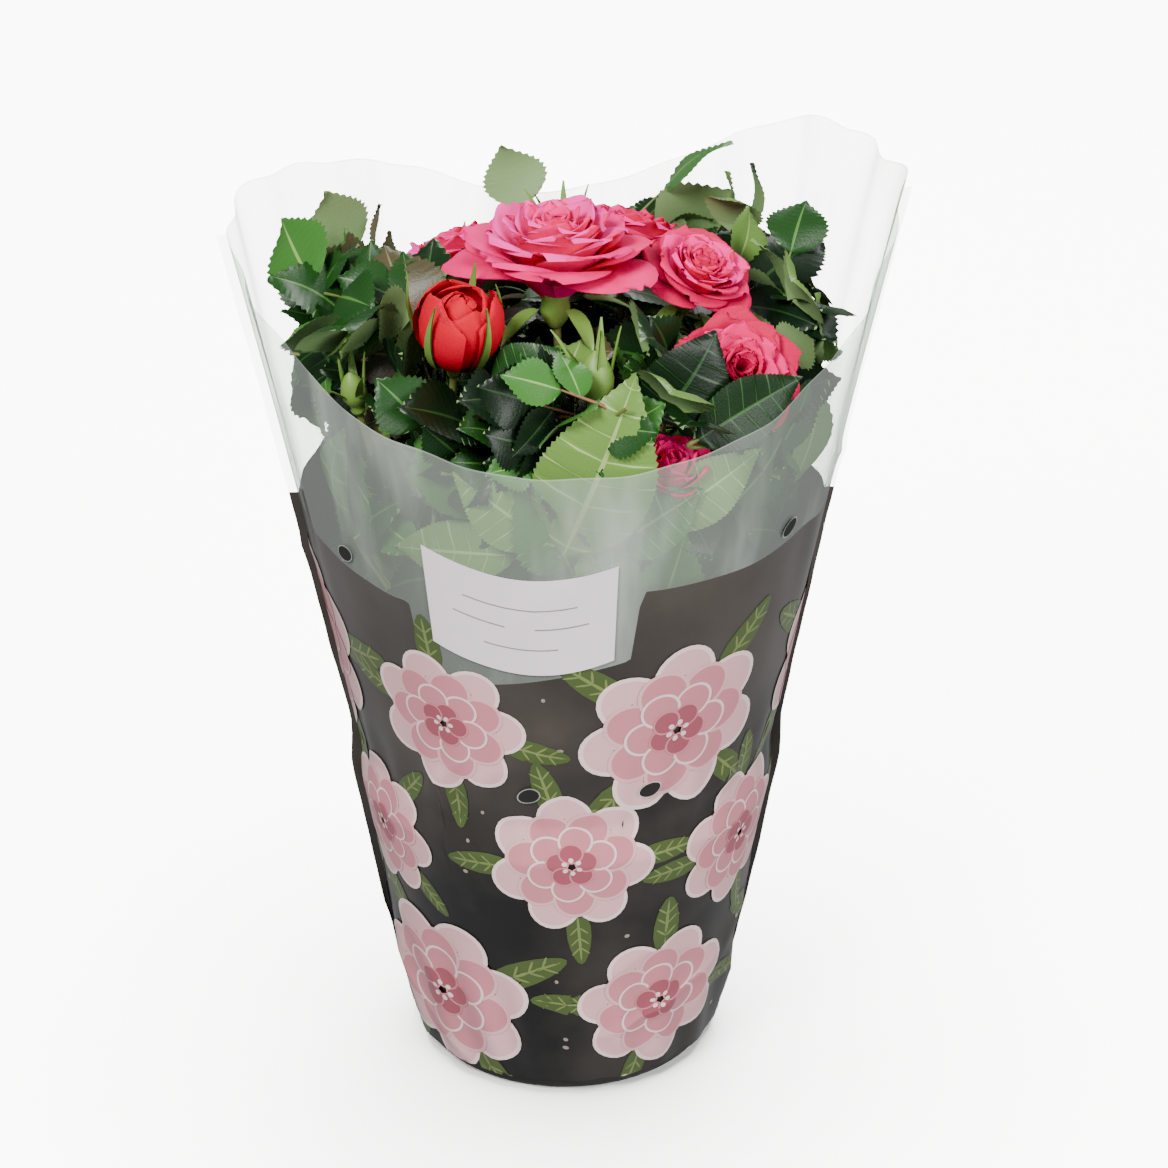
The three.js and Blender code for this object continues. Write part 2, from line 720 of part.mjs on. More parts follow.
// One compound leaf on its petiole, or nothing where its end leaflet finds no room.
function compoundLeaf(mass, foot, forward, reach, surroundings, taken) {
  const rise = forward.clone().addScaledVector(UP, LEAF.petioleRise).normalize();
  const bend = foot.clone().addScaledVector(rise, 0.5 * LEAF.petiole * reach);
  const middle = bend.clone().addScaledVector(forward, 0.5 * LEAF.petiole * reach);
  const root = middle.clone().addScaledVector(forward, -LEAF.rootShare * LEAF.notch * reach);
  const petiole = [foot, bend, root];
  if (!petiole.every((point) => inSpace(mass, point))) return null;
  if (!lineIsClear(petiole.slice(1), LEAF.petioleRadii[1], surroundings)) return null;
  if (taken.kites.some((other) => goesThrough(petiole, other.kite))) return null;
  const face = UP.clone().addScaledVector(mass.outward, LEAF.tilt);
  face.addScaledVector(forward, -face.dot(forward)).normalize();
  const side = new THREE.Vector3().crossVectors(face, forward);
  const leaf = { petiole, middle, forward, face, side, reach };
  leaf.kites = LEAFLETS.map((leaflet) => {
    const kite = kiteOf(leaf, leaflet);
    return kiteIsClear(mass, kite, surroundings, taken) ? kite : null;
  });
  if (!leaf.kites[END_LEAFLET]) return null;
  for (const kite of leaf.kites.filter(Boolean)) {
    const [start, , tip] = kite;
    taken.kites.push({ kite, middle: start.clone().lerp(tip, 0.5), half: start.distanceTo(tip) / 2 });
  }
  taken.sticks.push(petiole);
  return leaf;
}

// The leaf's outline runs out round each leaflet and back to a notch near the middle.
function leafSolid(leaf) {
  const notchAt = (turn) => {
    const angle = THREE.MathUtils.degToRad(turn);
    const depth = LEAF.notch * leaf.reach;
    const point = leaf.middle.clone().addScaledVector(leaf.forward, depth * Math.cos(angle));
    return point.addScaledVector(leaf.side, depth * Math.sin(angle));
  };
  const outline = [notchAt(NOTCH_TURNS[0])];
  leaf.kites.forEach((kite, i) => {
    if (kite) outline.push(...kite.slice(1));
    outline.push(notchAt(NOTCH_TURNS[i + 1]));
  });
  return bladeSolid(outline, leaf.middle, leaf.face, LEAF.thickness);
}

// The twigs and leaves of one mass, grown from the point where its bough ends.
function grow(mass, surroundings) {
  const random = seededRandom(mass.seed);
  const taken = { kites: [], sticks: [] };
  const growth = { twigs: [], leaves: [] };
  const forward = mass.heart.clone().sub(mass.entry);
  const top = mass.heart.clone().addScaledVector(forward, STEM.onward).addScaledVector(UP, STEM.rise);
  const stretches = surroundings.stretches.filter((stretch) => stretch.limb !== mass.bough);
  const others = { stretches, heads: surroundings.heads };
  const stem = [mass.entry];
  for (const point of curve(mass.entry, mass.heart, top, STEM.steps).slice(1)) {
    if (!inSpace(mass, point) || !lineIsClear([stem.at(-1), point], STEM.radius, others)) break;
    stem.push(point);
  }
  const stemRadii = stem.map((_, i) => mix(STEM.radius, STEM.endRadius, i / STEM.steps));
  growth.twigs.push({ points: stem, radii: stemRadii });
  let turn = 360 * random();
  const aim = (lift, bias) => {
    turn += GOLDEN_TURN + TURN_SPREAD * (random() - 0.5);
    return place(turn, 1, lift).addScaledVector(mass.outward, bias).normalize();
  };
  for (let attempt = 0; attempt < TWIG.attempts && growth.twigs.length <= TWIG.count; attempt++) {
    const from = along(growth.twigs[0], mix(0.2, 0.95, random())).point;
    const length = TWIG.length * mix(1, TWIG.shortest, attempt / TWIG.attempts);
    const way = aim(random(), TWIG.outward).multiplyScalar(length);
    const middle = from.clone().addScaledVector(way, 0.5).addScaledVector(UP, -TWIG.sag);
    const points = [from, middle, from.clone().add(way)];
    if (!points.every((point) => inSpace(mass, point))) continue;
    if (!lineIsClear(points, STEM.endRadius, others)) continue;
    growth.twigs.push({ points, radii: [STEM.endRadius, STEM.endRadius, STEM.endRadius * 0.8] });
  }
  taken.sticks.push(...growth.twigs.map((twig) => twig.points));
  for (let attempt = 0; attempt < MASS.attempts && growth.leaves.length < mass.leaves; attempt++) {
    const twig = growth.twigs[attempt % growth.twigs.length];
    const foot = along(twig, attempt < growth.twigs.length ? 1 : mix(0.15, 1, random())).point;
    const shrink = mix(1, LEAF.least, attempt / MASS.attempts);
    const reach = LEAF.reach * (1 + LEAF.spread * (2 * random() - 1)) * shrink;
    const ahead = aim(mix(...LEAF.lift, random()), LEAF.outward);
    const leaf = compoundLeaf(mass, foot, ahead, reach, surroundings, taken);
    if (leaf) growth.leaves.push(leaf);
  }
  return growth;
}

function massSolid(growth) {
  const pieces = growth.twigs.map((twig) => limbSolid(twig, STEM.sides));
  for (const leaf of growth.leaves) {
    pieces.push(limbSolid({ points: leaf.petiole, radii: LEAF.petioleRadii }, STEM.sides));
    pieces.push(leafSolid(leaf));
  }
  return fuse(pieces);
}

// Putting it together

const rose = new THREE.Group();
rose.add(meshFrom("pot", potSolid(), COLORS.pot, 0.55));
rose.add(meshFrom("soil", soilSolid(), COLORS.soil, 0.95));
rose.add(meshFrom("sleeve", sleeveSolid(), COLORS.film, 0.25));

const caneList = canes();
const limbs = [...caneList];
for (const cane of caneList) {
  rose.add(meshFrom(cane.name, limbSolid(cane, CANE.sides), COLORS.cane, 0.7));
}

const heads = Object.entries(HEADS).map(([name, spec], i) => headFrom(name, spec, i + FIRST_HEAD_SEED));
for (const head of heads) {
  const end = head.foot.clone().addScaledVector(head.axis, 1);
  const stalk = shoot(head.name, caneList, limbs, heads, end, head.axis, STALK, head);
  limbs.push(stalk);
  const solid = fuse([headSolid(head), limbSolid(stalk, STALK.sides)]);
  rose.add(meshFrom(head.name, solid, COLORS[head.color], 0.55));
}

const masses = massList();
for (const mass of masses) {
  const around = { stretches: limbs.flatMap(stretchesOf), heads };
  const isOpen = (a, b) => inSpace(mass, b) && lineIsClear([a, b], MASS.entryRoom, around);
  const random = seededRandom(mass.seed + 1);
  const spot = mass.middle.clone();
  while (!isOpen(spot, spot.clone().addScaledVector(UP, 1))) {
    const shift = [0, 1, 2].map(() => MASS.wander * (2 * random() - 1));
    spot.copy(mass.middle).add(new THREE.Vector3(...shift));
  }
  const inward = new THREE.Vector3(0, 0, spot.z - MASS.entryDrop).sub(spot).normalize();
  const entry = spot.clone();
  const nextStep = () => entry.clone().addScaledVector(inward, 2 * MASS.entryStep);
  while (entry.distanceTo(spot) < MASS.entryReach && isOpen(entry, nextStep())) {
    entry.addScaledVector(inward, MASS.entryStep);
  }
  mass.heart = spot;
  mass.outward = mass.middle.clone().setZ(0).normalize();
  mass.entry = entry;
  const boughEnd = entry.clone().addScaledVector(inward, GAP);
  const boughName = mass.name.replace("leaves", "bough");
  const outward = inward.clone().negate();
  const bough = shoot(boughName, caneList, limbs, heads, boughEnd, outward, BOUGH);
  limbs.push(bough);
  mass.bough = bough;
  rose.add(meshFrom(bough.name, limbSolid(bough, BOUGH.sides), COLORS.bough, 0.7));
}

const surroundings = { stretches: limbs.flatMap(stretchesOf), heads };
masses.forEach((mass, i) => {
  const solid = massSolid(grow(mass, surroundings));
  rose.add(meshFrom(mass.name, solid, COLORS.leaves[i % COLORS.leaves.length], 0.45));
});

export default rose;
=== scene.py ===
"""A miniature rose bush in its pot and film sleeve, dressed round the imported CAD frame.

Lengths are millimetres, as in the part's source, and turn into metres when a mesh is made. The limbs and
masses grow by the source's seeded rule, so every leaf here stands where its solid does. Finer leaves follow.
"""

from math import cos, hypot, pi, radians, sin, sqrt

import bpy
import numpy as np
from mathutils import Matrix, Vector


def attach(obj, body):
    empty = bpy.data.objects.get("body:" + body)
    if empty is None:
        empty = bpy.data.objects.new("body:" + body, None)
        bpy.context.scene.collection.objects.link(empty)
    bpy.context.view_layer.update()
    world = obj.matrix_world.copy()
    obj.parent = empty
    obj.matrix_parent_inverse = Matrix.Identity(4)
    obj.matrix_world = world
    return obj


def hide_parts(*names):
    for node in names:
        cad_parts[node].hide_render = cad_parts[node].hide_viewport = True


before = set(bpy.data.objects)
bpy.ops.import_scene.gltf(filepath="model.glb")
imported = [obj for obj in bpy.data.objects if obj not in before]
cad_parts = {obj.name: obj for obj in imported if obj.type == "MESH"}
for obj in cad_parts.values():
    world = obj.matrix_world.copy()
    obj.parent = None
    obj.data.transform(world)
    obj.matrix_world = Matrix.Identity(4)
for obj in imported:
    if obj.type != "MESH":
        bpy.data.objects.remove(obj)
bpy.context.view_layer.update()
MM = 0.001

# Camera and studio: the photograph looks down on the plant from its front.

VIEW = {"turn": -2.5, "rise": 30, "distance": 2055, "target": (6, 0, 166), "frame": 1168, "focal_px": 6300}
LIGHTS = [  # name, place, what it points at, width, power, colour
    ("key", (-0.9, -1.3, 1.9), (0, 0, 0.2), 0.8, 92, (1, 0.985, 0.96)),
    ("fill", (1.2, -1.35, 0.85), (0, 0, 0.15), 1.2, 42, (1, 0.99, 0.98)),
    ("back", (0.5, 1.5, 1.6), (0, 0, 0.2), 1.0, 30, (1, 1, 1)),
]
BACKDROP_LIGHT = ("backdrop", (0, 0.4, 3.2), (0, 0.4, 0), 3.0, 1150, (1, 1, 1))
WORLD = {"color": (0.93, 0.95, 0.97, 1), "strength": 0.34}
FLOOR = {"half": 4.0, "z": -0.0006}


def camera():
    """The photograph's camera, from its focal length in pixels."""
    turn, rise = radians(VIEW["turn"]), radians(VIEW["rise"])
    away = Vector((sin(turn) * cos(rise), -cos(turn) * cos(rise), sin(rise)))
    data = bpy.data.cameras.new("camera")
    data.sensor_width = 36
    data.lens = data.sensor_width * VIEW["focal_px"] / VIEW["frame"]
    data.clip_end = 50
    obj = bpy.data.objects.new("camera", data)
    obj.location = (Vector(VIEW["target"]) + away * VIEW["distance"]) * MM
    obj.rotation_euler = away.to_track_quat("Z", "Y").to_euler()
    bpy.context.collection.objects.link(obj)
    bpy.context.scene.camera = obj


def area_light(name, place_m, target_m, size, power, color, only=None):
    """A soft disc light; with only, it lights nothing but that object."""
    data = bpy.data.lights.new(name, "AREA")
    data.shape = "DISK"
    data.size = size
    data.energy = power
    data.color = color
    obj = bpy.data.objects.new(name, data)
    obj.location = place_m
    obj.rotation_euler = (Vector(place_m) - Vector(target_m)).to_track_quat("Z", "Y").to_euler()
    bpy.context.collection.objects.link(obj)
    if only:
        receivers = bpy.data.collections.new(f"{name}_receivers")
        receivers.objects.link(only)
        obj.light_linking.receiver_collection = receivers


def studio():
    """Three soft lights, a pale sky, and a plain floor with a light of its own."""
    for light in LIGHTS:
        area_light(*light)
    world = bpy.data.worlds.new("studio")
    world.use_nodes = True
    set_inputs(world.node_tree.nodes["Background"], {"Color": WORLD["color"], "Strength": WORLD["strength"]})
    bpy.context.scene.world = world
    half, z = FLOOR["half"], FLOOR["z"]
    corners = [(-half, -half, z), (half, -half, z), (half, half, z), (-half, half, z)]
    mesh = bpy.data.meshes.new("floor")
    mesh.from_pydata(corners, [], [(0, 1, 2, 3)])
    floor = bpy.data.objects.new("floor", mesh)
    mesh.materials.append(MATERIALS["floor"])
    bpy.context.collection.objects.link(floor)
    floor.visible_glossy = False
    floor.visible_diffuse = False
    area_light(*BACKDROP_LIGHT, only=floor)


# Materials

def linear(code):
    """A hex colour as linear red, green, blue and alpha."""
    parts = [(code >> shift & 255) / 255 for shift in (16, 8, 0)]
    return tuple(c / 12.92 if c < 0.04045 else ((c + 0.055) / 1.055) ** 2.4 for c in parts) + (1,)


def set_inputs(node, values):
    for key, value in values.items():
        node.inputs[key].default_value = value


def add_node(tree, kind, values=None):
    node = tree.nodes.new(f"ShaderNode{kind}")
    set_inputs(node, values or {})
    return node


def join(tree, *links):
    """Links nodes; a link is a node with its output and a node with its input."""
    for source, output, target, goal in links:
        tree.links.new(source.outputs[output], target.inputs[goal])


def new_material(name):
    made = bpy.data.materials.new(name)
    made.use_nodes = True
    return made, made.node_tree


COAT_ROUGHNESS = 0.2
GLOW_RADIUS = (0.02, 0.003, 0.008)  # how far red, green and blue light spreads inside a petal
MOTTLE_SPAN = (0.35, 0.68)  # the noise levels between which the colour goes over to the mottle's


def material(name, color, roughness, **options):
    """A plain base colour with fine relief from noise, and optional coat, glow and mottling.

    A rise above 0 turns more of the surface to the mottle's colour for each metre of height, and leaves the
    base colour low down: a painted shade, darker towards the bottom.
    """
    made, tree = new_material(name)
    shader = tree.nodes["Principled BSDF"]
    set_inputs(shader, {
        "Base Color": linear(color), "Roughness": roughness,
        "Specular IOR Level": options.get("specular", 0.5),
        "Coat Weight": options.get("coat", 0), "Coat Roughness": COAT_ROUGHNESS,
        "Subsurface Weight": options.get("glow", 0), "Subsurface Radius": GLOW_RADIUS,
    })
    noise = add_node(tree, "TexNoise", {"Scale": options.get("grain", 900), "Detail": 4})
    bump = add_node(tree, "Bump", {
        "Strength": options.get("relief", 0.25), "Distance": options.get("depth", 0.0003)})
    spot = add_node(tree, "TexCoord")
    join(tree, (spot, "Object", noise, "Vector"), (noise, "Fac", bump, "Height"),
         (bump, "Normal", shader, "Normal"))
    if "mottle" in options:
        ramp = add_node(tree, "ValToRGB")
        stops = zip(ramp.color_ramp.elements, (color, options["mottle"]), options.get("span", MOTTLE_SPAN))
        for stop, code, position in stops:
            stop.color = linear(code)
            stop.position = position
        patches = add_node(tree, "TexNoise", {"Scale": options.get("patches", 120), "Detail": 6})
        height = add_node(tree, "SeparateXYZ")
        # The mottle's noise plus height times rise; a rise paints shade, darker low down.
        patches_and_painted_shade = add_node(tree, "Math", {1: options.get("rise", 0)})
        patches_and_painted_shade.operation = "MULTIPLY_ADD"
        join(tree, (spot, "Object", patches, "Vector"), (spot, "Object", height, "Vector"),
             (height, "Z", patches_and_painted_shade, 0), (patches, "Fac", patches_and_painted_shade, 2), (patches_and_painted_shade, 0, ramp, "Fac"),
             (ramp, "Color", shader, "Base Color"))
    return made


CLEAR_TINT = (0.865, 0.92, 0.875, 1)
HAZE_TINT = (0.81, 0.9, 0.81, 1)
# Streaks of more haze up the film: painted reflections of its wrinkles.
PAINTED_REFLECTION_STREAKS = {"scale": (42, 42, 5), "levels": (0.46, 0.72), "more": 0.27}
FILM_GLOSS = {"roughness": 0.12, "power": 3, "slant": 0.7, "least": 0.035}


def film_material(name, haze_share):
    """Clear film: mostly see-through, with a thin haze, soft streaks of more haze up it that paint
    reflections off its wrinkles, and more gloss at a slant.
    """
    made, tree = new_material(name)
    tree.nodes.remove(tree.nodes["Principled BSDF"])
    clear = add_node(tree, "BsdfTransparent", {"Color": CLEAR_TINT})
    haze = add_node(tree, "BsdfPrincipled", {"Base Color": HAZE_TINT, "Roughness": 0.5})
    hazy = add_node(tree, "MixShader")
    spot = add_node(tree, "TexCoord")
    stretched = add_node(tree, "Mapping", {"Scale": PAINTED_REFLECTION_STREAKS["scale"]})
    streaks = add_node(tree, "TexNoise", {"Scale": 1, "Detail": 3})
    low, high = PAINTED_REFLECTION_STREAKS["levels"]
    shown = add_node(tree, "MapRange", {
        "From Min": low, "From Max": high, "To Min": haze_share, "To Max": haze_share + PAINTED_REFLECTION_STREAKS["more"]})
    shown.interpolation_type = "SMOOTHSTEP"
    gloss = add_node(tree, "BsdfGlossy", {"Roughness": FILM_GLOSS["roughness"]})
    slant = add_node(tree, "LayerWeight", {"Blend": 0.5})
    steep = add_node(tree, "Math", {1: FILM_GLOSS["power"]})
    steep.operation = "POWER"
    scaled = add_node(tree, "Math", {1: FILM_GLOSS["slant"], 2: FILM_GLOSS["least"]})
    scaled.operation = "MULTIPLY_ADD"
    shiny = add_node(tree, "MixShader")
    join(tree, (spot, "Object", stretched, "Vector"), (stretched, "Vector", streaks, "Vector"),
         (streaks, "Fac", shown, "Value"), (shown, "Result", hazy, "Fac"), (clear, "BSDF", hazy, 1),
         (haze, "BSDF", hazy, 2), (slant, "Facing", steep, 0), (steep, 0, scaled, 0),
         (scaled, 0, shiny, "Fac"), (hazy, "Shader", shiny, 1), (gloss, "BSDF", shiny, 2),
         (shiny, "Shader", tree.nodes["Material Output"], "Surface"))
    return made


MATERIALS = {
    "floor": material("floor", 0xF6F6F4, 0.8, grain=60, relief=0.05),
    "pot": material("pot_plastic", 0x2B2A28, 0.5, grain=700, relief=0.2, mottle=0x343230),
    "soil": material(
        "soil", 0x2C2019, 0.95, grain=400, relief=0.9, depth=0.0015, mottle=0x4A3828, patches=300),
    "soil_light": material("soil_light", 0x6B5138, 0.95, grain=500, relief=0.6),
    "cane": material(
        "cane_bark", 0x6F7A3C, 0.7, grain=500, relief=0.5, depth=0.0006, mottle=0x7F6A42, patches=90),
    "bough": material("green_bark", 0x5A7A33, 0.55, grain=600, relief=0.35, mottle=0x77703C, patches=80),
    "thorn": material("thorn", 0x8C4A35, 0.5),
    "petiole": material("petiole", 0x66743A, 0.5),
    "petiole_red": material("petiole_red", 0x7C5236, 0.5),
    "film": film_material("clear_film", 0.19),
    # The edge film is hazier: the cut edge along the rim and round the vents, made paler as a painted
    # highlight.
    "film_edge": film_material("film_edge", 0.34),
    # Painted shade: the vents are not cut, and this near-black stands for the shaded inside seen through
    # them.
    "hole": material("vent_hole", 0x161413, 0.7),
    # Painted shade: the print ground's near-black base colour stays at the film's foot and turns, by its
    # rise, to the taupe mottle higher up.
    "print": material(
        "print_ground", 0x0E0C0B, 0.36, coat=0.5, grain=160, relief=0.12, mottle=0x453F3A, patches=14,
        rise=1.6, span=(0.5, 0.88)),
}
LEAF_TINTS = {
    "dark": (0x051A07, 0x1A3E12),
    "deep": (0x0A2709, 0x255018),
    "middle": (0x163D11, 0x44732D),
    "fresh": (0x376A28, 0x789F50),
    "young": (0x64873F, 0x96AE6C),
    "bronze": (0x45402A, 0x6F6A40),
}
for tint, (blade, rib) in LEAF_TINTS.items():
    MATERIALS[f"leaf_{tint}"] = material(
        f"leaf_{tint}", blade, 0.4, coat=0.05, grain=1400, relief=0.35, specular=0.26)
    MATERIALS[f"rib_{tint}"] = material(f"rib_{tint}", rib, 0.45)
MATERIALS["leaf_under"] = material("leaf_under", 0x6F8C58, 0.6, grain=1200, relief=0.3)
PETAL_TINTS = {
    "pink": (0xEC0068, 0xF20A7A, 0xFA1E8C, 0xFF38A2, 0xE8006A),
    "rose": (0xC00046, 0xD60058, 0xEC006E, 0xFF0C8A, 0xCC004C),
    "red": (0xB80028, 0xCE0030, 0xE4003A, 0xF80A4A, 0xC00024),
}
for color, tints in PETAL_TINTS.items():
    for i, code in enumerate(tints):
        MATERIALS[f"petal_{color}_{i}"] = material(
            f"petal_{color}_{i}", code, 0.6, grain=700, relief=0.2, glow=0.3, specular=0.1)
MATERIALS["calyx"] = material("calyx", 0x6E8F3C, 0.5, grain=900, mottle=0x88753C, patches=60)
MATERIALS["sepal"] = material("sepal", 0x6C8E3C, 0.5, grain=900)


# Meshes

class Surface:
    """Collects grids of points and turns them into one smooth mesh."""

    def __init__(self, *materials):
        self.materials = materials
        self.points = []
        self.faces = []
        self.slots = []
        self.count = 0

    def grid(self, points, slots, closed=False, flip=False):
        """A grid of points, rows by columns, whose cells take the material numbers in slots."""
        rows, columns = points.shape[:2]
        index = self.count + np.arange(rows * columns).reshape(rows, columns)
        if closed:
            index = np.concatenate([index, index[:, :1]], axis=1)
        corners = [index[:-1, :-1], index[:-1, 1:], index[1:, 1:], index[1:, :-1]]
        if flip:
            corners.reverse()
        cells = np.stack(corners, axis=-1).reshape(-1, 4)
        self.points.append(points.reshape(-1, 3))
        self.faces.extend(cells.tolist())
        self.slots.append(np.broadcast_to(slots, index[1:, 1:].shape).reshape(-1))
        self.count += rows * columns

    def fan(self, ring, middle, slot, flip=False):
        """A disc from a ring of points to its middle."""
        count = len(ring)
        for i in range(count):
            corners = [self.count + i, self.count + (i + 1) % count, self.count + count]
            self.faces.append(corners[::-1] if flip else corners)
        self.points.append(np.vstack([ring, middle]))
        self.slots.append(np.full(count, slot))
        self.count += count + 1

    def piece(self, name, slot, *nodes):
        """Makes the mesh a piece of the model that replaces the named nodes of the frame."""
        mesh = bpy.data.meshes.new(name)
        mesh.from_pydata((np.vstack(self.points) * MM).tolist(), [], self.faces)
        for key in self.materials:
            mesh.materials.append(MATERIALS[key])
        mesh.polygons.foreach_set("material_index", np.concatenate(self.slots).astype(np.int32))
        mesh.polygons.foreach_set("use_smooth", np.ones(len(mesh.polygons), dtype=bool))
        mesh.update()
        obj = bpy.data.objects.new(name, mesh)
        bpy.context.collection.objects.link(obj)
        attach(obj, "root")
        if nodes:
            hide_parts(*nodes)
        return obj


def normals_of(points):
    """The normal at each point of a grid."""
    down = np.gradient(points, axis=0)
    across = np.gradient(points, axis=1)
    normal = np.cross(across, down)
    return normal / np.maximum(np.linalg.norm(normal, axis=2, keepdims=True), 1e-9)


def tube(surface, points, radii, sides, slot, relief=0, facing=None):
    """A limb of round section along a line of points, with an optional relief of its bark."""
    points = [Vector(point) for point in points]
    across = Vector((1, 0.13, 0.07)) if facing is None else facing.copy()
    rings = []
    for i, point in enumerate(points):
        ahead = (points[min(i + 1, len(points) - 1)] - points[max(i - 1, 0)]).normalized()
        across = (across - ahead * across.dot(ahead)).normalized()
        side = ahead.cross(across)
        angles = np.arange(sides) * 2 * pi / sides
        swell = 1 + relief * np.sin(3 * angles + 0.9 * i) * np.sin(1.7 * i + 5 * angles)
        ring = np.outer(np.cos(angles) * swell, across) + np.outer(np.sin(angles) * swell, side)
        rings.append(np.array(point) + ring * radii[i])
    surface.grid(np.array(rings), slot, closed=True)
    surface.fan(rings[0], np.array(points[0]), slot, flip=True)
    surface.fan(rings[-1], np.array(points[-1]), slot)


# The part's driving dimensions, as in its source

GOLDEN_TURN = 137.5
TURN_SPREAD = 20
GAP = 0.3
UP = Vector((0, 0, 1))
POT = {"height": 113, "rim_radius": 67, "rim_depth": 10, "neck_radius": 64, "foot_radius": 48, "wall": 1.6,
       "floor": 2.4}
DRAIN = {"count": 6, "radius": 4, "reach": 34}
SOIL_TOP = 102
SLEEVE = {"hem": 5, "hem_radius": 51, "flare": 0.176, "front_rim": 256, "right_rim": 308, "left_rim": 296,
          "back_rim": 262, "seam_reach": 0.06, "wall": 0.8}
SNUG = {"bottom": POT["height"] - POT["rim_depth"] - 3, "top": POT["height"] + 2,
        "radius": POT["rim_radius"] + GAP + SLEEVE["wall"]}
CANE = {"count": 4, "first_turn": 38, "foot_reach": 14, "tip_reach": 27, "tip": 192, "lower": 9,
        "bend_turn": 10, "bend_height": 0.6, "tip_turn": 4, "steps": 5}
CANE_RADII = {"foot": 4.6, "neck": 3.3, "tip": 2.4, "neck_rise": 7}
START = {"first": 0.96, "last": 0.15, "step": 0.06, "below": 5, "canes": 3, "bends": (0.45, 0.6, 0.3, 0.75)}
BOUGH = {"start_radius": 1.9, "end_radius": 1.4, "steps": 3}
STALK = {"start_radius": 1.7, "end_radius": 1.25, "steps": 5}
CROWN = {"bottom": 117, "top": 294, "film_clearance": 1.6, "cell_clearance": 0.4, "limb_clearance": 0.9}
RINGS = [
    {"name": "low", "count": 4, "reach": 40, "height": 155, "turn": 83, "leaves": 8},
    {"name": "upper", "count": 6, "reach": 64, "height": 240, "turn": -14, "leaves": 10},
]
MASS = {"entry_drop": 45, "entry_reach": 26, "entry_step": 1, "entry_room": 2.4, "wander": 14, "near": 75,
        "attempts": 400}
STEM = {"radius": 1.3, "end_radius": 0.8, "steps": 3, "onward": 0.25, "rise": 10}
TWIG = {"count": 3, "length": 30, "shortest": 0.6, "attempts": 24, "outward": 0.2, "sag": 2,
        "along": (0.2, 0.95), "taper": 0.8}
LEAF = {"reach": 44, "spread": 0.16, "least": 0.6, "petiole": 0.4, "petiole_rise": 0.4, "root_share": 0.4,
        "notch": 0.085, "droop": 0.1, "side_lift": 0.03, "tilt": 0.3, "lift": (0.05, 1.1), "outward": 0.6,
        "head_margin": 1.2, "petiole_radius": 0.85, "along": (0.15, 1)}
LEAFLETS = [  # turn, reach, widest, half width
    (-113, 0.7, 0.38, 0.15),
    (-59, 0.72, 0.38, 0.17),
    (0, 1, 0.5, 0.25),
    (59, 0.72, 0.38, 0.17),
    (113, 0.7, 0.38, 0.15),
]
END_LEAFLET = 2
HEADS = {  # kind, radius, middle (turn, reach, height), lean (turn, degrees), colour
    "bloom_open_front": ("open", 30, (-15, 15, 306), (180, 9), "pink"),
    "bud_red_front": ("half", 14.5, (-35, 60, 288), (30, 14), "red"),
    "bloom_right_upper": ("open", 20.5, (74, 46, 291), (60, 24), "rose"),
    "bloom_right_lower": ("half", 18, (48, 73, 272), (20, 46), "rose"),
    "bud_green_front": ("green", 6.4, (6, 66, 277), (200, 4), "green"),
    "bud_green_left": ("green", 4.8, (-58, 80, 262), (-60, 12), "green"),
    "bloom_small_front": ("half", 11, (24, 74, 247), (24, 26), "rose"),
    "bloom_back_left": ("open", 23, (-142, 58, 270), (-142, 30), "pink"),
    "bloom_back_right": ("open", 22, (150, 50, 277), (150, 24), "rose"),
    "bud_red_left": ("half", 11, (-98, 66, 262), (-98, 22), "red"),
    "bud_green_back": ("green", 6, (178, 72, 258), (178, 16), "green"),
}
HEAD_ROOMS = {  # depth of the foot below the middle, then the room's reach, rise and shift, all in radii
    "open": (0.8, 1.12, 0.9, -0.28),
    "half": (1.1, 1.2, 1.3, -0.2),
    "green": (1.4, 1.3, 2.2, 0.3),
}
SEEDS = {"film_leaves": 501, "soil": 77, "creases": 4141, "print": 905}
HEAD_SLOTS = {"pink": "pink_petals", "rose": "rose_petals", "red": "red_petals", "green": "green_bud"}


def place(turn, reach, height):
    """A point by its turn in degrees from the front to the right, its reach and its height."""
    return Vector((reach * sin(radians(turn)), -reach * cos(radians(turn)), height))


def seeded_random(seed):
    """Draws from 0 up to 1 that follow from the seed alone, as in the source."""
    state = seed

    def draw():
        nonlocal state
        state = (state * 1664525 + 1013904223) % 4294967296
        return state / 4294967296

    return draw


def mix(a, b, share):
    return a + (b - a) * share


def tapered(thick, thin, steps):
    """The radii along a limb that thins evenly."""
    return [mix(thick, thin, i / steps) for i in range(steps + 1)]


# The film's form

def film_radius(z):
    """The plain film's radius at a height."""
    if z > SNUG["top"]:
        return SNUG["radius"] + (z - SNUG["top"]) * SLEEVE["flare"]
    if z > SNUG["bottom"]:
        return SNUG["radius"]
    return mix(SLEEVE["hem_radius"], SNUG["radius"], (z - SLEEVE["hem"]) / (SNUG["bottom"] - SLEEVE["hem"]))


def rim_height(angle):
    """The height of the film's rim at an angle from the front."""
    front = cos(angle)
    seam_rim = SLEEVE["left_rim"] if sin(angle) < 0 else SLEEVE["right_rim"]
    if front > 0:
        return mix(SLEEVE["front_rim"], seam_rim, (1 - front) ** 1.2)
    return mix(seam_rim, SLEEVE["back_rim"], front ** 4)


# Clearances, as in the source

def clamp(x):
    return min(max(x, 0), 1)


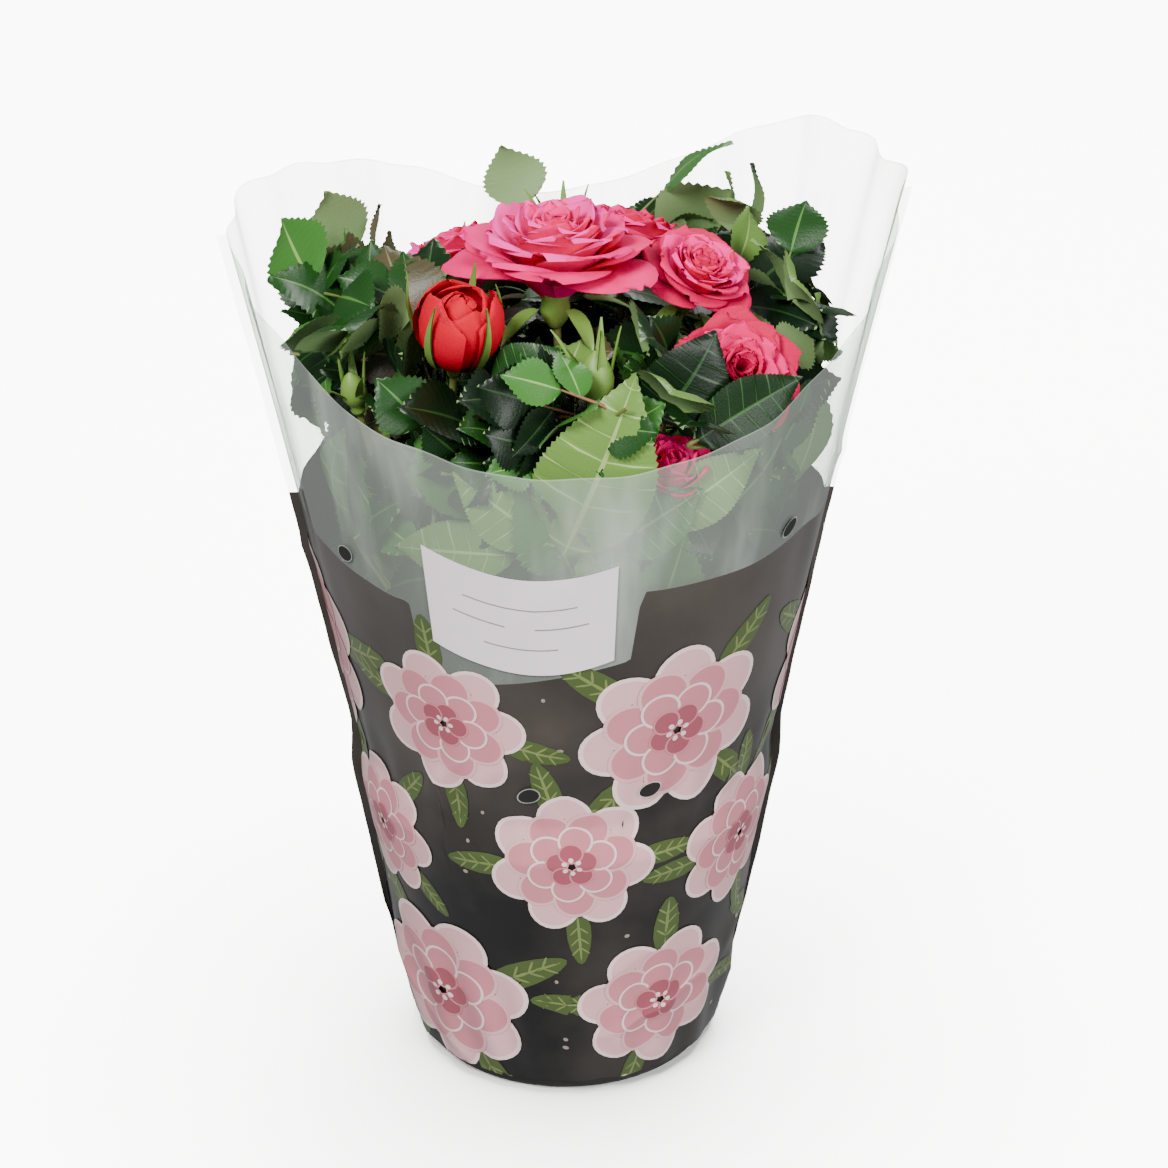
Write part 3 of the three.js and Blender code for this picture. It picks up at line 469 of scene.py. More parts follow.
def stretch_gap(a, b, c, d):
    """The least distance between the straight stretches a-b and c-d."""
    u, v, w = b - a, d - c, a - c
    uu, uv, vv, uw, vw = u.dot(u), u.dot(v), v.dot(v), u.dot(w), v.dot(w)
    spread = uu * vv - uv * uv
    s = clamp((uv * vw - vv * uw) / spread) if spread > 1e-9 else 0
    t = (uv * s + vw) / vv
    if t < 0 or t > 1:
        t = clamp(t)
        s = clamp((uv * t - uw) / uu)
    return (w + u * s - v * t).length


def pierces(a, b, p, q, r):
    """Whether the stretch a-b goes through the triangle p-q-r."""
    way, side1, side2 = b - a, q - p, r - p
    cross = way.cross(side2)
    facing = side1.dot(cross)
    if abs(facing) < 1e-9:
        return False
    start = a - p
    u = start.dot(cross) / facing
    if u < 0 or u > 1:
        return False
    turned = start.cross(side1)
    v = way.dot(turned) / facing
    t = side2.dot(turned) / facing
    return v >= 0 and u + v <= 1 and 0 <= t <= 1


class Limb:
    """A cane, stalk, bough or twig: a line of points with a radius at each."""

    def __init__(self, name, points, radii, facing=None):
        self.name = name
        self.points = points
        self.radii = radii
        self.facing = facing

    def stretches(self):
        pairs = zip(self.points, self.points[1:], self.radii, self.radii[1:])
        return [(a, b, max(ra, rb), self) for a, b, ra, rb in pairs]

    def at(self, share):
        """The point and the radius at a share of the way along the limb."""
        position = share * (len(self.points) - 1)
        i = min(int(position), len(self.points) - 2)
        point = self.points[i].lerp(self.points[i + 1], position - i)
        return point, mix(self.radii[i], self.radii[i + 1], position - i)


class Head:
    """A flower or bud: its axis and foot, and the rounded room that it takes."""

    def __init__(self, name, index):
        kind, radius, middle, lean, color = HEADS[name]
        depth, reach, rise, shift = HEAD_ROOMS[kind]
        self.name, self.kind, self.radius, self.color = name, kind, radius, color
        tilt = radians(lean[1])
        self.axis = (UP * cos(tilt) + place(lean[0], 1, 0) * sin(tilt)).normalized()
        self.foot = place(*middle) - self.axis * (depth * radius)
        self.room_middle = place(*middle) + self.axis * (shift * radius)
        self.room_reach, self.room_rise = reach * radius, rise * radius
        self.seed = index + 3

    def keeps_off(self, point, margin):
        """Whether a point is outside the head's room, with a margin round it."""
        offset = point - self.room_middle
        rise = offset.dot(self.axis)
        reach = sqrt(max(offset.length_squared - rise * rise, 0))
        return (reach / (self.room_reach + margin)) ** 2 + (rise / (self.room_rise + margin)) ** 2 > 1


def off_heads(heads, points, margin):
    """Whether points are outside the rooms of heads, with a margin round them."""
    return all(head.keeps_off(point, margin) for head in heads for point in points)


def curve(start, bend, end, steps):
    shares = [i / steps for i in range(steps + 1)]
    return [start * (1 - t) ** 2 + bend * (2 * t * (1 - t)) + end * t ** 2 for t in shares]


def canes():
    grown = []
    for i in range(CANE["count"]):
        turn = CANE["first_turn"] + 360 * i / CANE["count"]
        foot = place(turn, CANE["foot_reach"], SOIL_TOP + GAP)
        neck = foot + UP * CANE_RADII["neck_rise"]
        bend_height = mix(SOIL_TOP, CANE["tip"], CANE["bend_height"])
        bend = place(turn + CANE["bend_turn"], CANE["foot_reach"], bend_height)
        tip = place(turn + CANE["tip_turn"], CANE["tip_reach"], CANE["tip"] - CANE["lower"] * (i % 2))
        points = [foot] + curve(neck, bend, tip, CANE["steps"])
        radii = [CANE_RADII["foot"]] + tapered(CANE_RADII["neck"], CANE_RADII["tip"], CANE["steps"])
        grown.append(Limb(f"cane_{i + 1}", points, radii))
    return grown


def clear_of(limbs, heads, candidate, own_head):
    """Whether a limb touches no other limb and no head but its own."""
    others = [head for head in heads if head is not own_head]
    for a, b, radius, _ in candidate.stretches():
        for limb in limbs:
            for c, d, other, _ in limb.stretches():
                if stretch_gap(a, b, c, d) < radius + other + GAP / 2:
                    return False
        if not off_heads(others, (a, a.lerp(b, 0.5), b), radius + 1):
            return False
    return True


def shoot(name, stems, limbs, heads, end, arrival, size, own_head=None):
    """The first way from the side of a cane to an end that touches nothing on the way."""
    nearest = sorted(stems, key=lambda stem: (stem.at(1)[0] - end).length)[:START["canes"]]
    for lift in START["bends"]:
        for cane in nearest:
            share = START["first"]
            while share > START["last"]:
                point, radius = cane.at(share)
                share -= START["step"]
                if point.z > end.z - START["below"]:
                    continue
                out = Vector((end.x - point.x, end.y - point.y, 0)).normalized()
                start = point + out * (radius + GAP + size["start_radius"])
                bend = end - arrival * (lift * (start - end).length)
                points = curve(start, bend, end, size["steps"])
                radii = tapered(size["start_radius"], size["end_radius"], size["steps"])
                candidate = Limb(name, points, radii, facing=-out)
                if not clear_of(limbs, heads, candidate, own_head):
                    continue
                slant = (points[1] - start).angle(out)
                points[0] = start + out * (size["start_radius"] * (sin(slant) - 1))
                return candidate
    raise RuntimeError(f"{name} finds no way")


class Mass:
    """A mass of leaves: its middle, and the walls halfway to the other masses' middles."""

    def __init__(self, name, middle, leaves, seed):
        self.name, self.middle, self.leaves, self.seed = name, middle, leaves, seed
        self.outward = Vector((middle.x, middle.y, 0)).normalized()
        self.walls = []

    def holds(self, point, ease=0):
        """Whether a point is nearer to this mass's middle than to any other, and inside the film."""
        if point.z < CROWN["bottom"] or point.z > CROWN["top"]:
            return False
        inside = film_radius(point.z) - SLEEVE["wall"] - CROWN["film_clearance"]
        if hypot(point.x, point.y) > inside:
            return False
        offset = point - self.middle
        return all(offset.dot(normal) < reach + ease for normal, reach in self.walls)


def mass_list():
    masses = []
    for ring in RINGS:
        for i in range(ring["count"]):
            middle = place(ring["turn"] + 360 * i / ring["count"], ring["reach"], ring["height"])
            name, seed = f"leaves_{ring['name']}_{i + 1}", 100 * len(masses) + 11
            masses.append(Mass(name, middle, ring["leaves"], seed))
    for mass in masses:
        for other in masses:
            if other is not mass:
                towards = other.middle - mass.middle
                reach = towards.length / 2 - CROWN["cell_clearance"]
                mass.walls.append((towards.normalized(), reach))
    return masses


def line_is_clear(points, radius, stretches, heads):
    """Whether a line of points keeps off limbs and heads."""
    for a, b in zip(points, points[1:]):
        for c, d, other, _ in stretches:
            if stretch_gap(a, b, c, d) < radius + other + CROWN["limb_clearance"]:
                return False
    tested = list(points) + [a.lerp(b, 0.5) for a, b in zip(points, points[1:])]
    return off_heads(heads, tested, radius + 1)


def kite_of(leaf, turn, reach, widest, half):
    """A leaflet's outline by four corners: its root, one side, its tip and the other side."""
    ahead = leaf.forward * cos(radians(turn)) + leaf.side * sin(radians(turn))
    across = leaf.face.cross(ahead)

    def at(share, sideways, lift):
        return leaf.middle + (ahead * share + across * sideways + leaf.face * lift) * leaf.reach

    tip = at(reach, 0, -LEAF["droop"] * reach)
    return leaf.middle, at(widest, -half, LEAF["side_lift"]), tip, at(widest, half, LEAF["side_lift"])


def goes_through(stick, kite):
    """Whether a line of points goes through a kite."""
    root, low, tip, high = kite
    for a, b in zip(stick, stick[1:]):
        if pierces(a, b, root, low, tip) or pierces(a, b, root, tip, high):
            return True
    return False


def edges_of(kite):
    root, low, tip, high = kite
    return (root, low), (low, tip), (tip, high), (high, root), (root, tip)


def cuts(kite, other):
    return any(goes_through(edge, other) for edge in edges_of(kite))


def shrunk(kite, slack):
    middle = (kite[0] + kite[1] + kite[2] + kite[3]) / 4
    return tuple(point.lerp(middle, slack) for point in kite)


def kite_is_clear(mass, kite, room, ease, slack):
    """Whether a leaflet keeps to its mass's space and off limbs, heads and, but for slack, other leaves."""
    root, low, tip, high = kite
    if not all(mass.holds(point, ease) for point in (low, tip, high)):
        return False
    middle, half = root.lerp(tip, 0.5), (root - tip).length / 2
    for other, other_middle, other_half in room.kites:
        if (other_middle - middle).length <= (half + other_half) * (1 - slack):
            core = shrunk(kite, slack)
            if cuts(core, other) or cuts(other, core):
                return False
    if not slack and any(goes_through(stick, kite) for stick in room.sticks):
        return False
    edges = edges_of(kite)
    for a, b, radius, _ in room.stretches:
        if stretch_gap(a, b, root, tip) > half + radius:
            continue
        if any(stretch_gap(c, d, a, b) < radius + CROWN["limb_clearance"] for c, d in edges):
            return False
        if goes_through((a, b), kite):
            return False
    tested = [point for c, d in edges for point in (d, c.lerp(d, 0.5))]
    return off_heads(room.heads, tested, LEAF["head_margin"])


class Room:
    """What a mass has round it, and what has already grown in it."""

    def __init__(self, stretches, heads):
        self.stretches = stretches
        self.heads = heads
        self.kites = []
        self.sticks = []


class CompoundLeaf:
    """A leaf's petiole, middle, directions and reach, and a kite for each leaflet that has room."""


def compound_leaf(mass, foot, forward, reach, room, ease=0, slack=0, tilt=LEAF["tilt"]):
    """One compound leaf on its petiole, or nothing where its end leaflet finds no room."""
    rise = (forward + UP * LEAF["petiole_rise"]).normalized()
    half = 0.5 * LEAF["petiole"] * reach
    bend = foot + rise * half
    leaf = CompoundLeaf()
    leaf.middle = bend + forward * half
    leaf.petiole = [foot, bend, leaf.middle - forward * (LEAF["root_share"] * LEAF["notch"] * reach)]
    if not all(mass.holds(point, ease) for point in leaf.petiole):
        return None
    if not line_is_clear(leaf.petiole[1:], LEAF["petiole_radius"], room.stretches, room.heads):
        return None
    if not slack and any(goes_through(leaf.petiole, other) for other, _, _ in room.kites):
        return None
    outward = mass.outward if not slack else Vector((foot.x, foot.y, 0)).normalized()
    face = UP + outward * tilt
    leaf.face = (face - forward * face.dot(forward)).normalized()
    leaf.side = leaf.face.cross(forward)
    leaf.forward, leaf.reach = forward, reach
    kites = [kite_of(leaf, *leaflet) for leaflet in LEAFLETS]
    leaf.kites = [kite if kite_is_clear(mass, kite, room, ease, slack) else None for kite in kites]
    if leaf.kites[END_LEAFLET] is None:
        return None
    for kite in leaf.kites:
        if kite:
            room.kites.append((kite, kite[0].lerp(kite[2], 0.5), (kite[0] - kite[2]).length / 2))
    room.sticks.append(leaf.petiole)
    return leaf


# Finer growth after the source's own: more twigs, and smaller leaves that may lean a little past the walls.
FINER = {"twigs": 11, "leaves": 32, "attempts": 640, "reach": 39, "least": 0.62, "ease": 7, "length": 28,
         "slack": 0.45, "lift": (-0.45, 1.1), "outward": (-0.5, 1.5), "tilt": (0.1, 2.6),
         "along": (0.3, 1), "twig_every": 4}


def grow(mass, room):
    """The twigs and leaves of one mass, grown from the point where its bough ends."""
    draw = seeded_random(mass.seed)
    forward = mass.heart - mass.entry
    top = mass.heart + forward * STEM["onward"] + UP * STEM["rise"]
    others = [stretch for stretch in room.stretches if stretch[3] is not mass.bough]
    stem = [mass.entry]
    for point in curve(mass.entry, mass.heart, top, STEM["steps"])[1:]:
        if not mass.holds(point) or not line_is_clear([stem[-1], point], STEM["radius"], others, room.heads):
            break
        stem.append(point)
    radii = tapered(STEM["radius"], STEM["end_radius"], STEM["steps"])
    mass.twigs = [Limb("stem", stem, radii[:len(stem)])]
    mass.foliage = []
    turn = 360 * draw()

    def aim(lift, bias):
        nonlocal turn
        turn += GOLDEN_TURN + TURN_SPREAD * (draw() - 0.5)
        return (place(turn, 1, lift) + mass.outward * bias).normalized()

    def add_twig(origin, way, ease=0):
        points = [origin, origin + way * 0.5 - UP * TWIG["sag"], origin + way]
        if not all(mass.holds(point, ease) for point in points):
            return
        if not line_is_clear(points, STEM["end_radius"], others, room.heads):
            return
        end = STEM["end_radius"]
        mass.twigs.append(Limb("twig", points, [end, end, end * TWIG["taper"]]))

    for attempt in range(TWIG["attempts"]):
        if len(mass.twigs) > TWIG["count"]:
            break
        origin = mass.twigs[0].at(mix(*TWIG["along"], draw()))[0]
        length = TWIG["length"] * mix(1, TWIG["shortest"], attempt / TWIG["attempts"])
        add_twig(origin, aim(draw(), TWIG["outward"]) * length)
    room.sticks.extend(twig.points for twig in mass.twigs)
    for attempt in range(MASS["attempts"]):
        if len(mass.foliage) >= mass.leaves:
            break
        twig = mass.twigs[attempt % len(mass.twigs)]
        foot = twig.at(1 if attempt < len(mass.twigs) else mix(*LEAF["along"], draw()))[0]
        shrink = mix(1, LEAF["least"], attempt / MASS["attempts"])
        size = LEAF["reach"] * (1 + LEAF["spread"] * (2 * draw() - 1)) * shrink
        leaf = compound_leaf(mass, foot, aim(mix(*LEAF["lift"], draw()), LEAF["outward"]), size, room)
        if leaf:
            mass.foliage.append(leaf)
    enough = len(mass.foliage) + FINER["leaves"]
    for attempt in range(FINER["attempts"]):
        if len(mass.foliage) >= enough:
            break
        if len(mass.twigs) <= TWIG["count"] + FINER["twigs"] and attempt % FINER["twig_every"] == 0:
            origin = mass.twigs[int(len(mass.twigs) * draw())].at(mix(*FINER["along"], draw()))[0]
            way = aim(mix(*FINER["lift"], draw()), mix(*FINER["outward"], draw()))
            add_twig(origin, way * FINER["length"], FINER["ease"])
        foot = mass.twigs[attempt % len(mass.twigs)].at(mix(*LEAF["along"], draw()))[0]
        size = FINER["reach"] * (1 + LEAF["spread"] * (2 * draw() - 1)) * mix(1, FINER["least"], draw())
        ahead = aim(mix(*FINER["lift"], draw()), mix(*FINER["outward"], draw()))
        tilt = mix(*FINER["tilt"], draw())
        leaf = compound_leaf(mass, foot, ahead, size, room, FINER["ease"], FINER["slack"], tilt)
        if leaf:
            mass.foliage.append(leaf)


# The limbs, grown in the source's order

def grow_limbs():
    """All canes, heads and masses, each mass with its bough, twigs and leaves."""
    cane_list = canes()
    limbs = list(cane_list)
    heads = [Head(name, index) for index, name in enumerate(HEADS)]
    for head in heads:
        end = head.foot + head.axis
        head.stalk = shoot(head.name, cane_list, limbs, heads, end, head.axis, STALK, head)
        limbs.append(head.stalk)
    masses = mass_list()
    for mass in masses:
        stretches = [stretch for limb in limbs for stretch in limb.stretches()]
        draw = seeded_random(mass.seed + 1)

        def is_open(a, b):
            return mass.holds(b) and line_is_clear([a, b], MASS["entry_room"], stretches, heads)

        spot = mass.middle.copy()
        while not is_open(spot, spot + UP):
            shift = [MASS["wander"] * (2 * draw() - 1) for _ in range(3)]
            spot = mass.middle + Vector(shift)
        inward = (Vector((0, 0, spot.z - MASS["entry_drop"])) - spot).normalized()
        entry, step = spot.copy(), MASS["entry_step"]
        while (entry - spot).length < MASS["entry_reach"] and is_open(entry, entry + inward * 2 * step):
            entry = entry + inward * step
        mass.heart, mass.entry = spot, entry
        name = mass.name.replace("leaves", "bough")
        mass.bough = shoot(name, cane_list, limbs, heads, entry + inward * GAP, -inward, BOUGH)
        limbs.append(mass.bough)
    stretches = [stretch for limb in limbs for stretch in limb.stretches()]
    for mass in masses:
        near = [(a, b, radius, limb) for a, b, radius, limb in stretches
                if min((a - mass.heart).length, (b - mass.heart).length) < MASS["near"]]
        grow(mass, Room(near, heads))
    return cane_list, heads, masses


# Leaves

LEAFLET_ROWS = 25
LEAFLET_COLUMNS = np.array([-1, -0.55, -0.045, 0.045, 0.55, 1])
LEAF_THICKNESS = 0.25
# A leaflet's teeth, the forward sweep of its sides, and its folds, bends and waves, as shares of its size.
LEAFLET_FORM = {"tooth": 0.05, "tooth_shift": 0.011, "sweep": 0.13, "fold": (0.06, 0.3), "rounding": 0.12,
                "arch": 0.07, "arch_range": (0.5, 1.4), "quilt": 0.28, "wave": 0.05, "twist": 0.3,
                "sway": 0.05}
VEIN_ROW = 0.35  # height of a row that is a side vein, as a share of the others'


def leaflet(surface, base, tip, face, half, slots, draw, rows=LEAFLET_ROWS, vein_step=0):
    """A toothed, folded leaflet with its rib and, for a vein_step, side veins; its underside is paler."""
    base, tip, face = (np.array(vector) for vector in (base, tip, face))
    ahead = tip - base
    length = np.linalg.norm(ahead)
    ahead = ahead / length
    side = np.cross(face, ahead)
    side = side / np.linalg.norm(side)
    up = np.cross(ahead, side)
    veins = np.zeros(rows - 1, dtype=bool)
    if vein_step:
        veins = np.arange(rows - 1) % vein_step == vein_step // 2
    v = np.concatenate([[0], np.cumsum(np.where(veins, VEIN_ROW, 1))])[:, None]
    v = 0.001 + 0.998 * v / v[-1]
    u = LEAFLET_COLUMNS[None, :]
    form, out = LEAFLET_FORM, np.abs(u)
    tooth = np.where(np.arange(rows) % 2 == 1, 1, -1)[:, None] * LEAFLET_ROWS / rows
    width = half * np.sin(pi * v ** 0.66) ** 0.95
    reach = width * (1 + form["tooth"] * tooth * (out == 1))
    along = v + np.where(out == 1, form["tooth_shift"] * tooth, 0)
    along = along + form["sweep"] * out * np.sin(pi * v) ** 0.8 * (1 - v)
    fold, wave, twist = mix(*form["fold"], draw()), 2 * pi * draw(), form["twist"] * (draw() - 0.5)
    height = fold * out * width - form["rounding"] * half * out ** 3
    height = height + form["arch"] * length * np.sin(pi * v) * mix(*form["arch_range"], draw())
    height = height + form["quilt"] * tooth * (out == 0.55) * (half / 9)
    height = height + form["wave"] * half * np.sin(7 * v + wave) * u
    height = height + twist * u * width * v
    sway = form["sway"] * length * (draw() - 0.5) * np.sin(pi * v)
    points = (base + ahead * (along * length)[..., None] + side * (u * reach + sway)[..., None]
              + up * height[..., None])
    blade, rib, under = slots
    cells = np.tile([blade, blade, rib, blade, blade], (rows - 1, 1))
    cells[veins] = rib
    surface.grid(points, cells, flip=True)
    lower = points[:, [0, 2, 5]].copy()
    lower[:, 1] -= up * LEAF_THICKNESS
    surface.grid(lower, under)


LEAF_MATERIALS = [f"{part}_{tint}" for tint in LEAF_TINTS for part in ("leaf", "rib")] + ["leaf_under"]


def leaf_slots(tint):
    start = 2 * list(LEAF_TINTS).index(tint)
    return start, start + 1, len(LEAF_MATERIALS) - 1


# Share of the way from the leaf's middle along its rachis at which each pair of leaflets is rooted.
LEAFLET_ROOTS = [-0.26, 0.06, 0.3, 0.06, -0.26]
LEAFLET_WIDTH = 1.42
RACHIS_RADII = [0.75, 0.6, 0.5, 0.35]
GREEN_PETIOLES = 0.6


def dress_leaf(leaf, leaves, twigs, tint, draw):
    """The leaflets of one compound leaf, rooted along its rachis, with their tips where the solid's are."""
    slots = leaf_slots(tint)
    rachis_end = leaf.middle + leaf.forward * (LEAFLET_ROOTS[END_LEAFLET] * leaf.reach)
    line = [leaf.petiole[0], leaf.petiole[1], leaf.middle, rachis_end]
    tube(twigs, line, RACHIS_RADII, 5, 1 if draw() < GREEN_PETIOLES else 2)
    for kite, (_, _, _, half), root in zip(leaf.kites, LEAFLETS, LEAFLET_ROOTS):
        if kite is None:
            continue
        base = leaf.middle + leaf.forward * (root * leaf.reach)
        leaflet(leaves, base, kite[2], leaf.face, half * leaf.reach * LEAFLET_WIDTH, slots, draw)


# The young top of the crown, and the tints of leaves with the chance below which each is taken.
YOUNG_TOP = {"above": 262, "spread": 40}
TOP_TINTS = [(0.3, "young"), (0.33, "bronze"), (0.5, "fresh")]
OTHER_TINTS = [(0.34, "dark"), (0.68, "deep"), (0.9, "middle"), (1, "fresh")]


def tint_for(leaf, draw):
    """Older leaves are dark and low; the young ones near the top are fresh green or bronze."""
    height = leaf.middle.z + YOUNG_TOP["spread"] * (draw() - 0.5)
    chance = draw()
    tints = TOP_TINTS + OTHER_TINTS if height > YOUNG_TOP["above"] else OTHER_TINTS
    return next(tint for limit, tint in tints if chance < limit)


LEAF_TO_FILM = 0.9


def press_inside(surface):
    """Moves the parts of leaves that would poke through the film back to its inside."""
    points = np.vstack(surface.points)
    inner = film_points(np.arctan2(points[:, 0], -points[:, 1]), points[:, 2], -LEAF_TO_FILM)
    allowed = np.hypot(inner[:, 0], inner[:, 1])
    reach = np.maximum(np.hypot(points[:, 0], points[:, 1]), 1)
    points[:, :2] *= np.minimum(1, allowed / reach)[:, None]
    surface.points = [points]


def dress_mass(mass):
    """The leaves of one mass, and its twigs."""
    draw = seeded_random(mass.seed + 7)
    leaves = Surface(*LEAF_MATERIALS)
    twigs = Surface("bough", "petiole", "petiole_red")
    for twig in mass.twigs:
        tube(twigs, twig.points, twig.radii, 8, 0, relief=0.05)
    for leaf in mass.foliage:
        dress_leaf(leaf, leaves, twigs, tint_for(leaf, draw), draw)
    press_inside(leaves)
    number = mass.name.removeprefix("leaves_")
    leaves.piece(f"foliage_{number}", "foliage", mass.name)
    twigs.piece(f"twigs_{number}", "green_bark")


# Large leaves by the film at the front: root and tip as turn, reach and height, then half width and tint.
FRONT_LEAVES = [
    ((-3, 80, 222), (12, 87, 288), 19, "young"),
    ((-6, 80, 226), (-27, 84, 250), 11, "young"),
    ((-14, 79, 221), (-45, 80, 214), 10, "young"),
    ((-64, 78, 208), (-59, 84, 249), 11, "fresh"),
    ((8, 80, 224), (29, 83, 241), 11, "fresh"),
    ((17, 80, 230), (45, 84, 248), 10, "young"),
    ((21, 72, 262), (37, 74, 289), 15, "dark"),
    ((28, 80, 257), (53, 90, 270), 11, "deep"),
    ((-24, 62, 268), (-2, 60, 284), 10, "middle"),
    ((-66, 76, 258), (-88, 84, 276), 14, "deep"),
    ((-52, 66, 262), (-44, 78, 282), 13, "dark"),
]
# The smaller leaves that lie along the film all round.
SKIRT = {"count": 150, "height": (168, 240), "length": (26, 44), "half": 0.3, "inset": (9, 24), "slant": 75,
         "over_rim": 14, "head_room": 3, "tints": ("deep", "middle", "middle", "fresh", "fresh", "young")}
FILM_PETIOLE = {"back": 9, "in": 2, "steps": 8, "radius": 0.8, "end": 0.5}
FACE_LIFT = 0.4  # how far up the leaves along the film look


def film_leaf(surfaces, twig_points, base, tip, half, tint, draw, **detail):
    """A leaflet that faces the film, on a petiole from the nearest twig."""
    leaves, stalks = surfaces
    outward = Vector((base.x, base.y, 0)).normalized()
    ahead = (tip - base).normalized()
    face = outward + UP * FACE_LIFT
    face = (face - ahead * face.dot(ahead)).normalized()
    leaflet(leaves, base, tip, face, half, leaf_slots(tint), draw, **detail)
    twig = min(twig_points, key=lambda point: (point - base).length)
    bend = base - ahead * FILM_PETIOLE["back"] - outward * FILM_PETIOLE["in"]
    steps, radius = FILM_PETIOLE["steps"], FILM_PETIOLE["radius"]
    tube(stalks, curve(twig, bend, base + ahead, steps), [radius] * steps + [FILM_PETIOLE["end"]], 6, 0)


def dress_film_leaves(masses, heads):
    """The leaves along the inside of the film: large ones at the front, small ones all round."""
    draw = seeded_random(SEEDS["film_leaves"])
    surfaces = Surface(*LEAF_MATERIALS), Surface("petiole")
    twig_points = [point for mass in masses for twig in mass.twigs for point in twig.points]
    for root, tip, half, tint in FRONT_LEAVES:
        film_leaf(surfaces, twig_points, place(*root), place(*tip), half, tint, draw, rows=57, vein_step=7)
    for i in range(SKIRT["count"]):
        turn, low = GOLDEN_TURN * i, mix(*SKIRT["height"], draw())
        length, slant = mix(*SKIRT["length"], draw()), radians(SKIRT["slant"] * (2 * draw() - 1))
        inset = mix(*SKIRT["inset"], draw())
        high = low + length * cos(slant)
        base = place(turn, film_radius(low) - inset, low)
        aside = length * sin(slant) / film_radius(high)
        tip = place(turn + aside * 180 / pi, film_radius(high) - inset, high)
        tint = SKIRT["tints"][int(len(SKIRT["tints"]) * draw())]
        if high > rim_height(radians(turn)) + SKIRT["over_rim"]:
            continue
        if off_heads(heads, (base, base.lerp(tip, 0.5), tip), SKIRT["head_room"]):
            film_leaf(surfaces, twig_points, base, tip, SKIRT["half"] * length, tint, draw)
    press_inside(surfaces[0])
    surfaces[0].piece("film_leaves", "foliage")
    surfaces[1].piece("film_petioles", "green_bark")


# Limbs

def fine_line(limb, steps):
    """More points along a limb, rounded off for a smooth tube."""
    count = steps * (len(limb.points) - 1) + 1
    spots = [limb.at(i / (count - 1)) for i in range(count)]
    points = [point for point, _ in spots]
    for _ in range(steps):
        inner = [a * 0.25 + b * 0.5 + c * 0.25 for a, b, c in zip(points, points[1:], points[2:])]
        points = points[:1] + inner + points[-1:]
    return points, [radius for _, radius in spots]


THORNS = {"along": (0.25, 0.95), "size": (2.2, 3.6), "sunk": 0.8}
# A thorn's middle and tip as reach and drop, and its radii at base and middle, all as shares of its size.
THORN_FORM = {"line": ((0.5, 0.08), (1, 0.45)), "radii": (0.42, 0.2), "point": 0.03, "sides": 7}


def thorn(surface, foot, out, size):
    """A hooked thorn on a broad base."""
    form = THORN_FORM
    middle, tip = (foot + out * (reach * size) - UP * (drop * size) for reach, drop in form["line"])
    base, waist = (share * size for share in form["radii"])
    tube(surface, [foot - out * 0.5, middle, tip], [base, waist, form["point"]], form["sides"], 1)


def dress_limb(limb, name, slot, sides, relief, bark, thorns):
    """A limb with the relief of its bark and a number of thorns."""
    surface = Surface(bark, "thorn")
    points, radii = fine_line(limb, 5)
    tube(surface, points, radii, sides, 0, relief=relief, facing=limb.facing)
    draw = seeded_random(len(name) * 31 + int(points[-1].z))
    for _ in range(thorns):
        foot, radius = limb.at(mix(*THORNS["along"], draw()))
        out = place(360 * draw(), 1, 0)
        thorn(surface, foot + out * (radius * THORNS["sunk"]), out, mix(*THORNS["size"], draw()))
    surface.piece(name, slot, limb.name)


# Flowers

PETAL_ROWS = 11
PETAL_COLUMNS = 13
PETAL_THICKNESS = 0.3
# Where a petal's rounded end begins and how far round it is drawn, how much single petals differ, the width
# of its root, how far it wraps round its neighbours, where it curls, and its waves.
PETAL_FORM = {"shoulder": 0.76, "shoulder_row": 5, "round_to": 80, "samples": 60, "lean_spread": 16,
              "length_range": (0.93, 1.05), "root": 0.35, "wrap": (2.0, 0.95), "overlap": 0.13,
              "overlap_fade": 0.6, "curl_from": 0.45, "curl_out": 0.6, "wave": 0.6}
PETAL_ORDER = (1, 2, 3, 3, 1, 0)  # tints from the innermost petals to the outermost
BLOOMS = {
    "open": {"petals": 40, "base": (0.02, 0.17), "start": (3, 46), "end": (24, 128), "flare": (5, 2),
             "length": (0.88, 1.14), "half": (0.36, 0.64), "point": 0.07, "roll": 0.22, "ruffle": 0.02,
             "cup": 2.1},
    "ruffled": {"petals": 34, "base": (0.03, 0.17), "start": (4, 40), "end": (24, 112), "flare": (5, 2.2),
                "length": (0.86, 1.06), "half": (0.34, 0.66), "point": 0.05, "roll": 0.2, "ruffle": 0.034,
                "cup": 1.7},
    "bud": {"petals": 15, "base": (0.08, 0.2), "start": (44, 64), "end": (-66, -40), "flare": (1, 1.1),
            "length": (2.2, 2.3), "half": (0.9, 1.3), "point": 0.14, "roll": 0.12, "ruffle": 0.02,
            "cup": 1.5},
    "half": {"petals": 17, "base": (0.05, 0.2), "start": (24, 36), "end": (-40, 50), "flare": (1.3, 1.5),
             "length": (1.75, 1.72), "half": (0.66, 0.92), "point": 0.12, "roll": 0.2, "ruffle": 0.034,
             "cup": 1.5},
}
# Heads that are dressed otherwise than their solid's kind says.
STYLES = {"bloom_right_upper": "ruffled", "bloom_right_lower": "ruffled", "bud_red_front": "bud",
          "bud_red_left": "bud"}
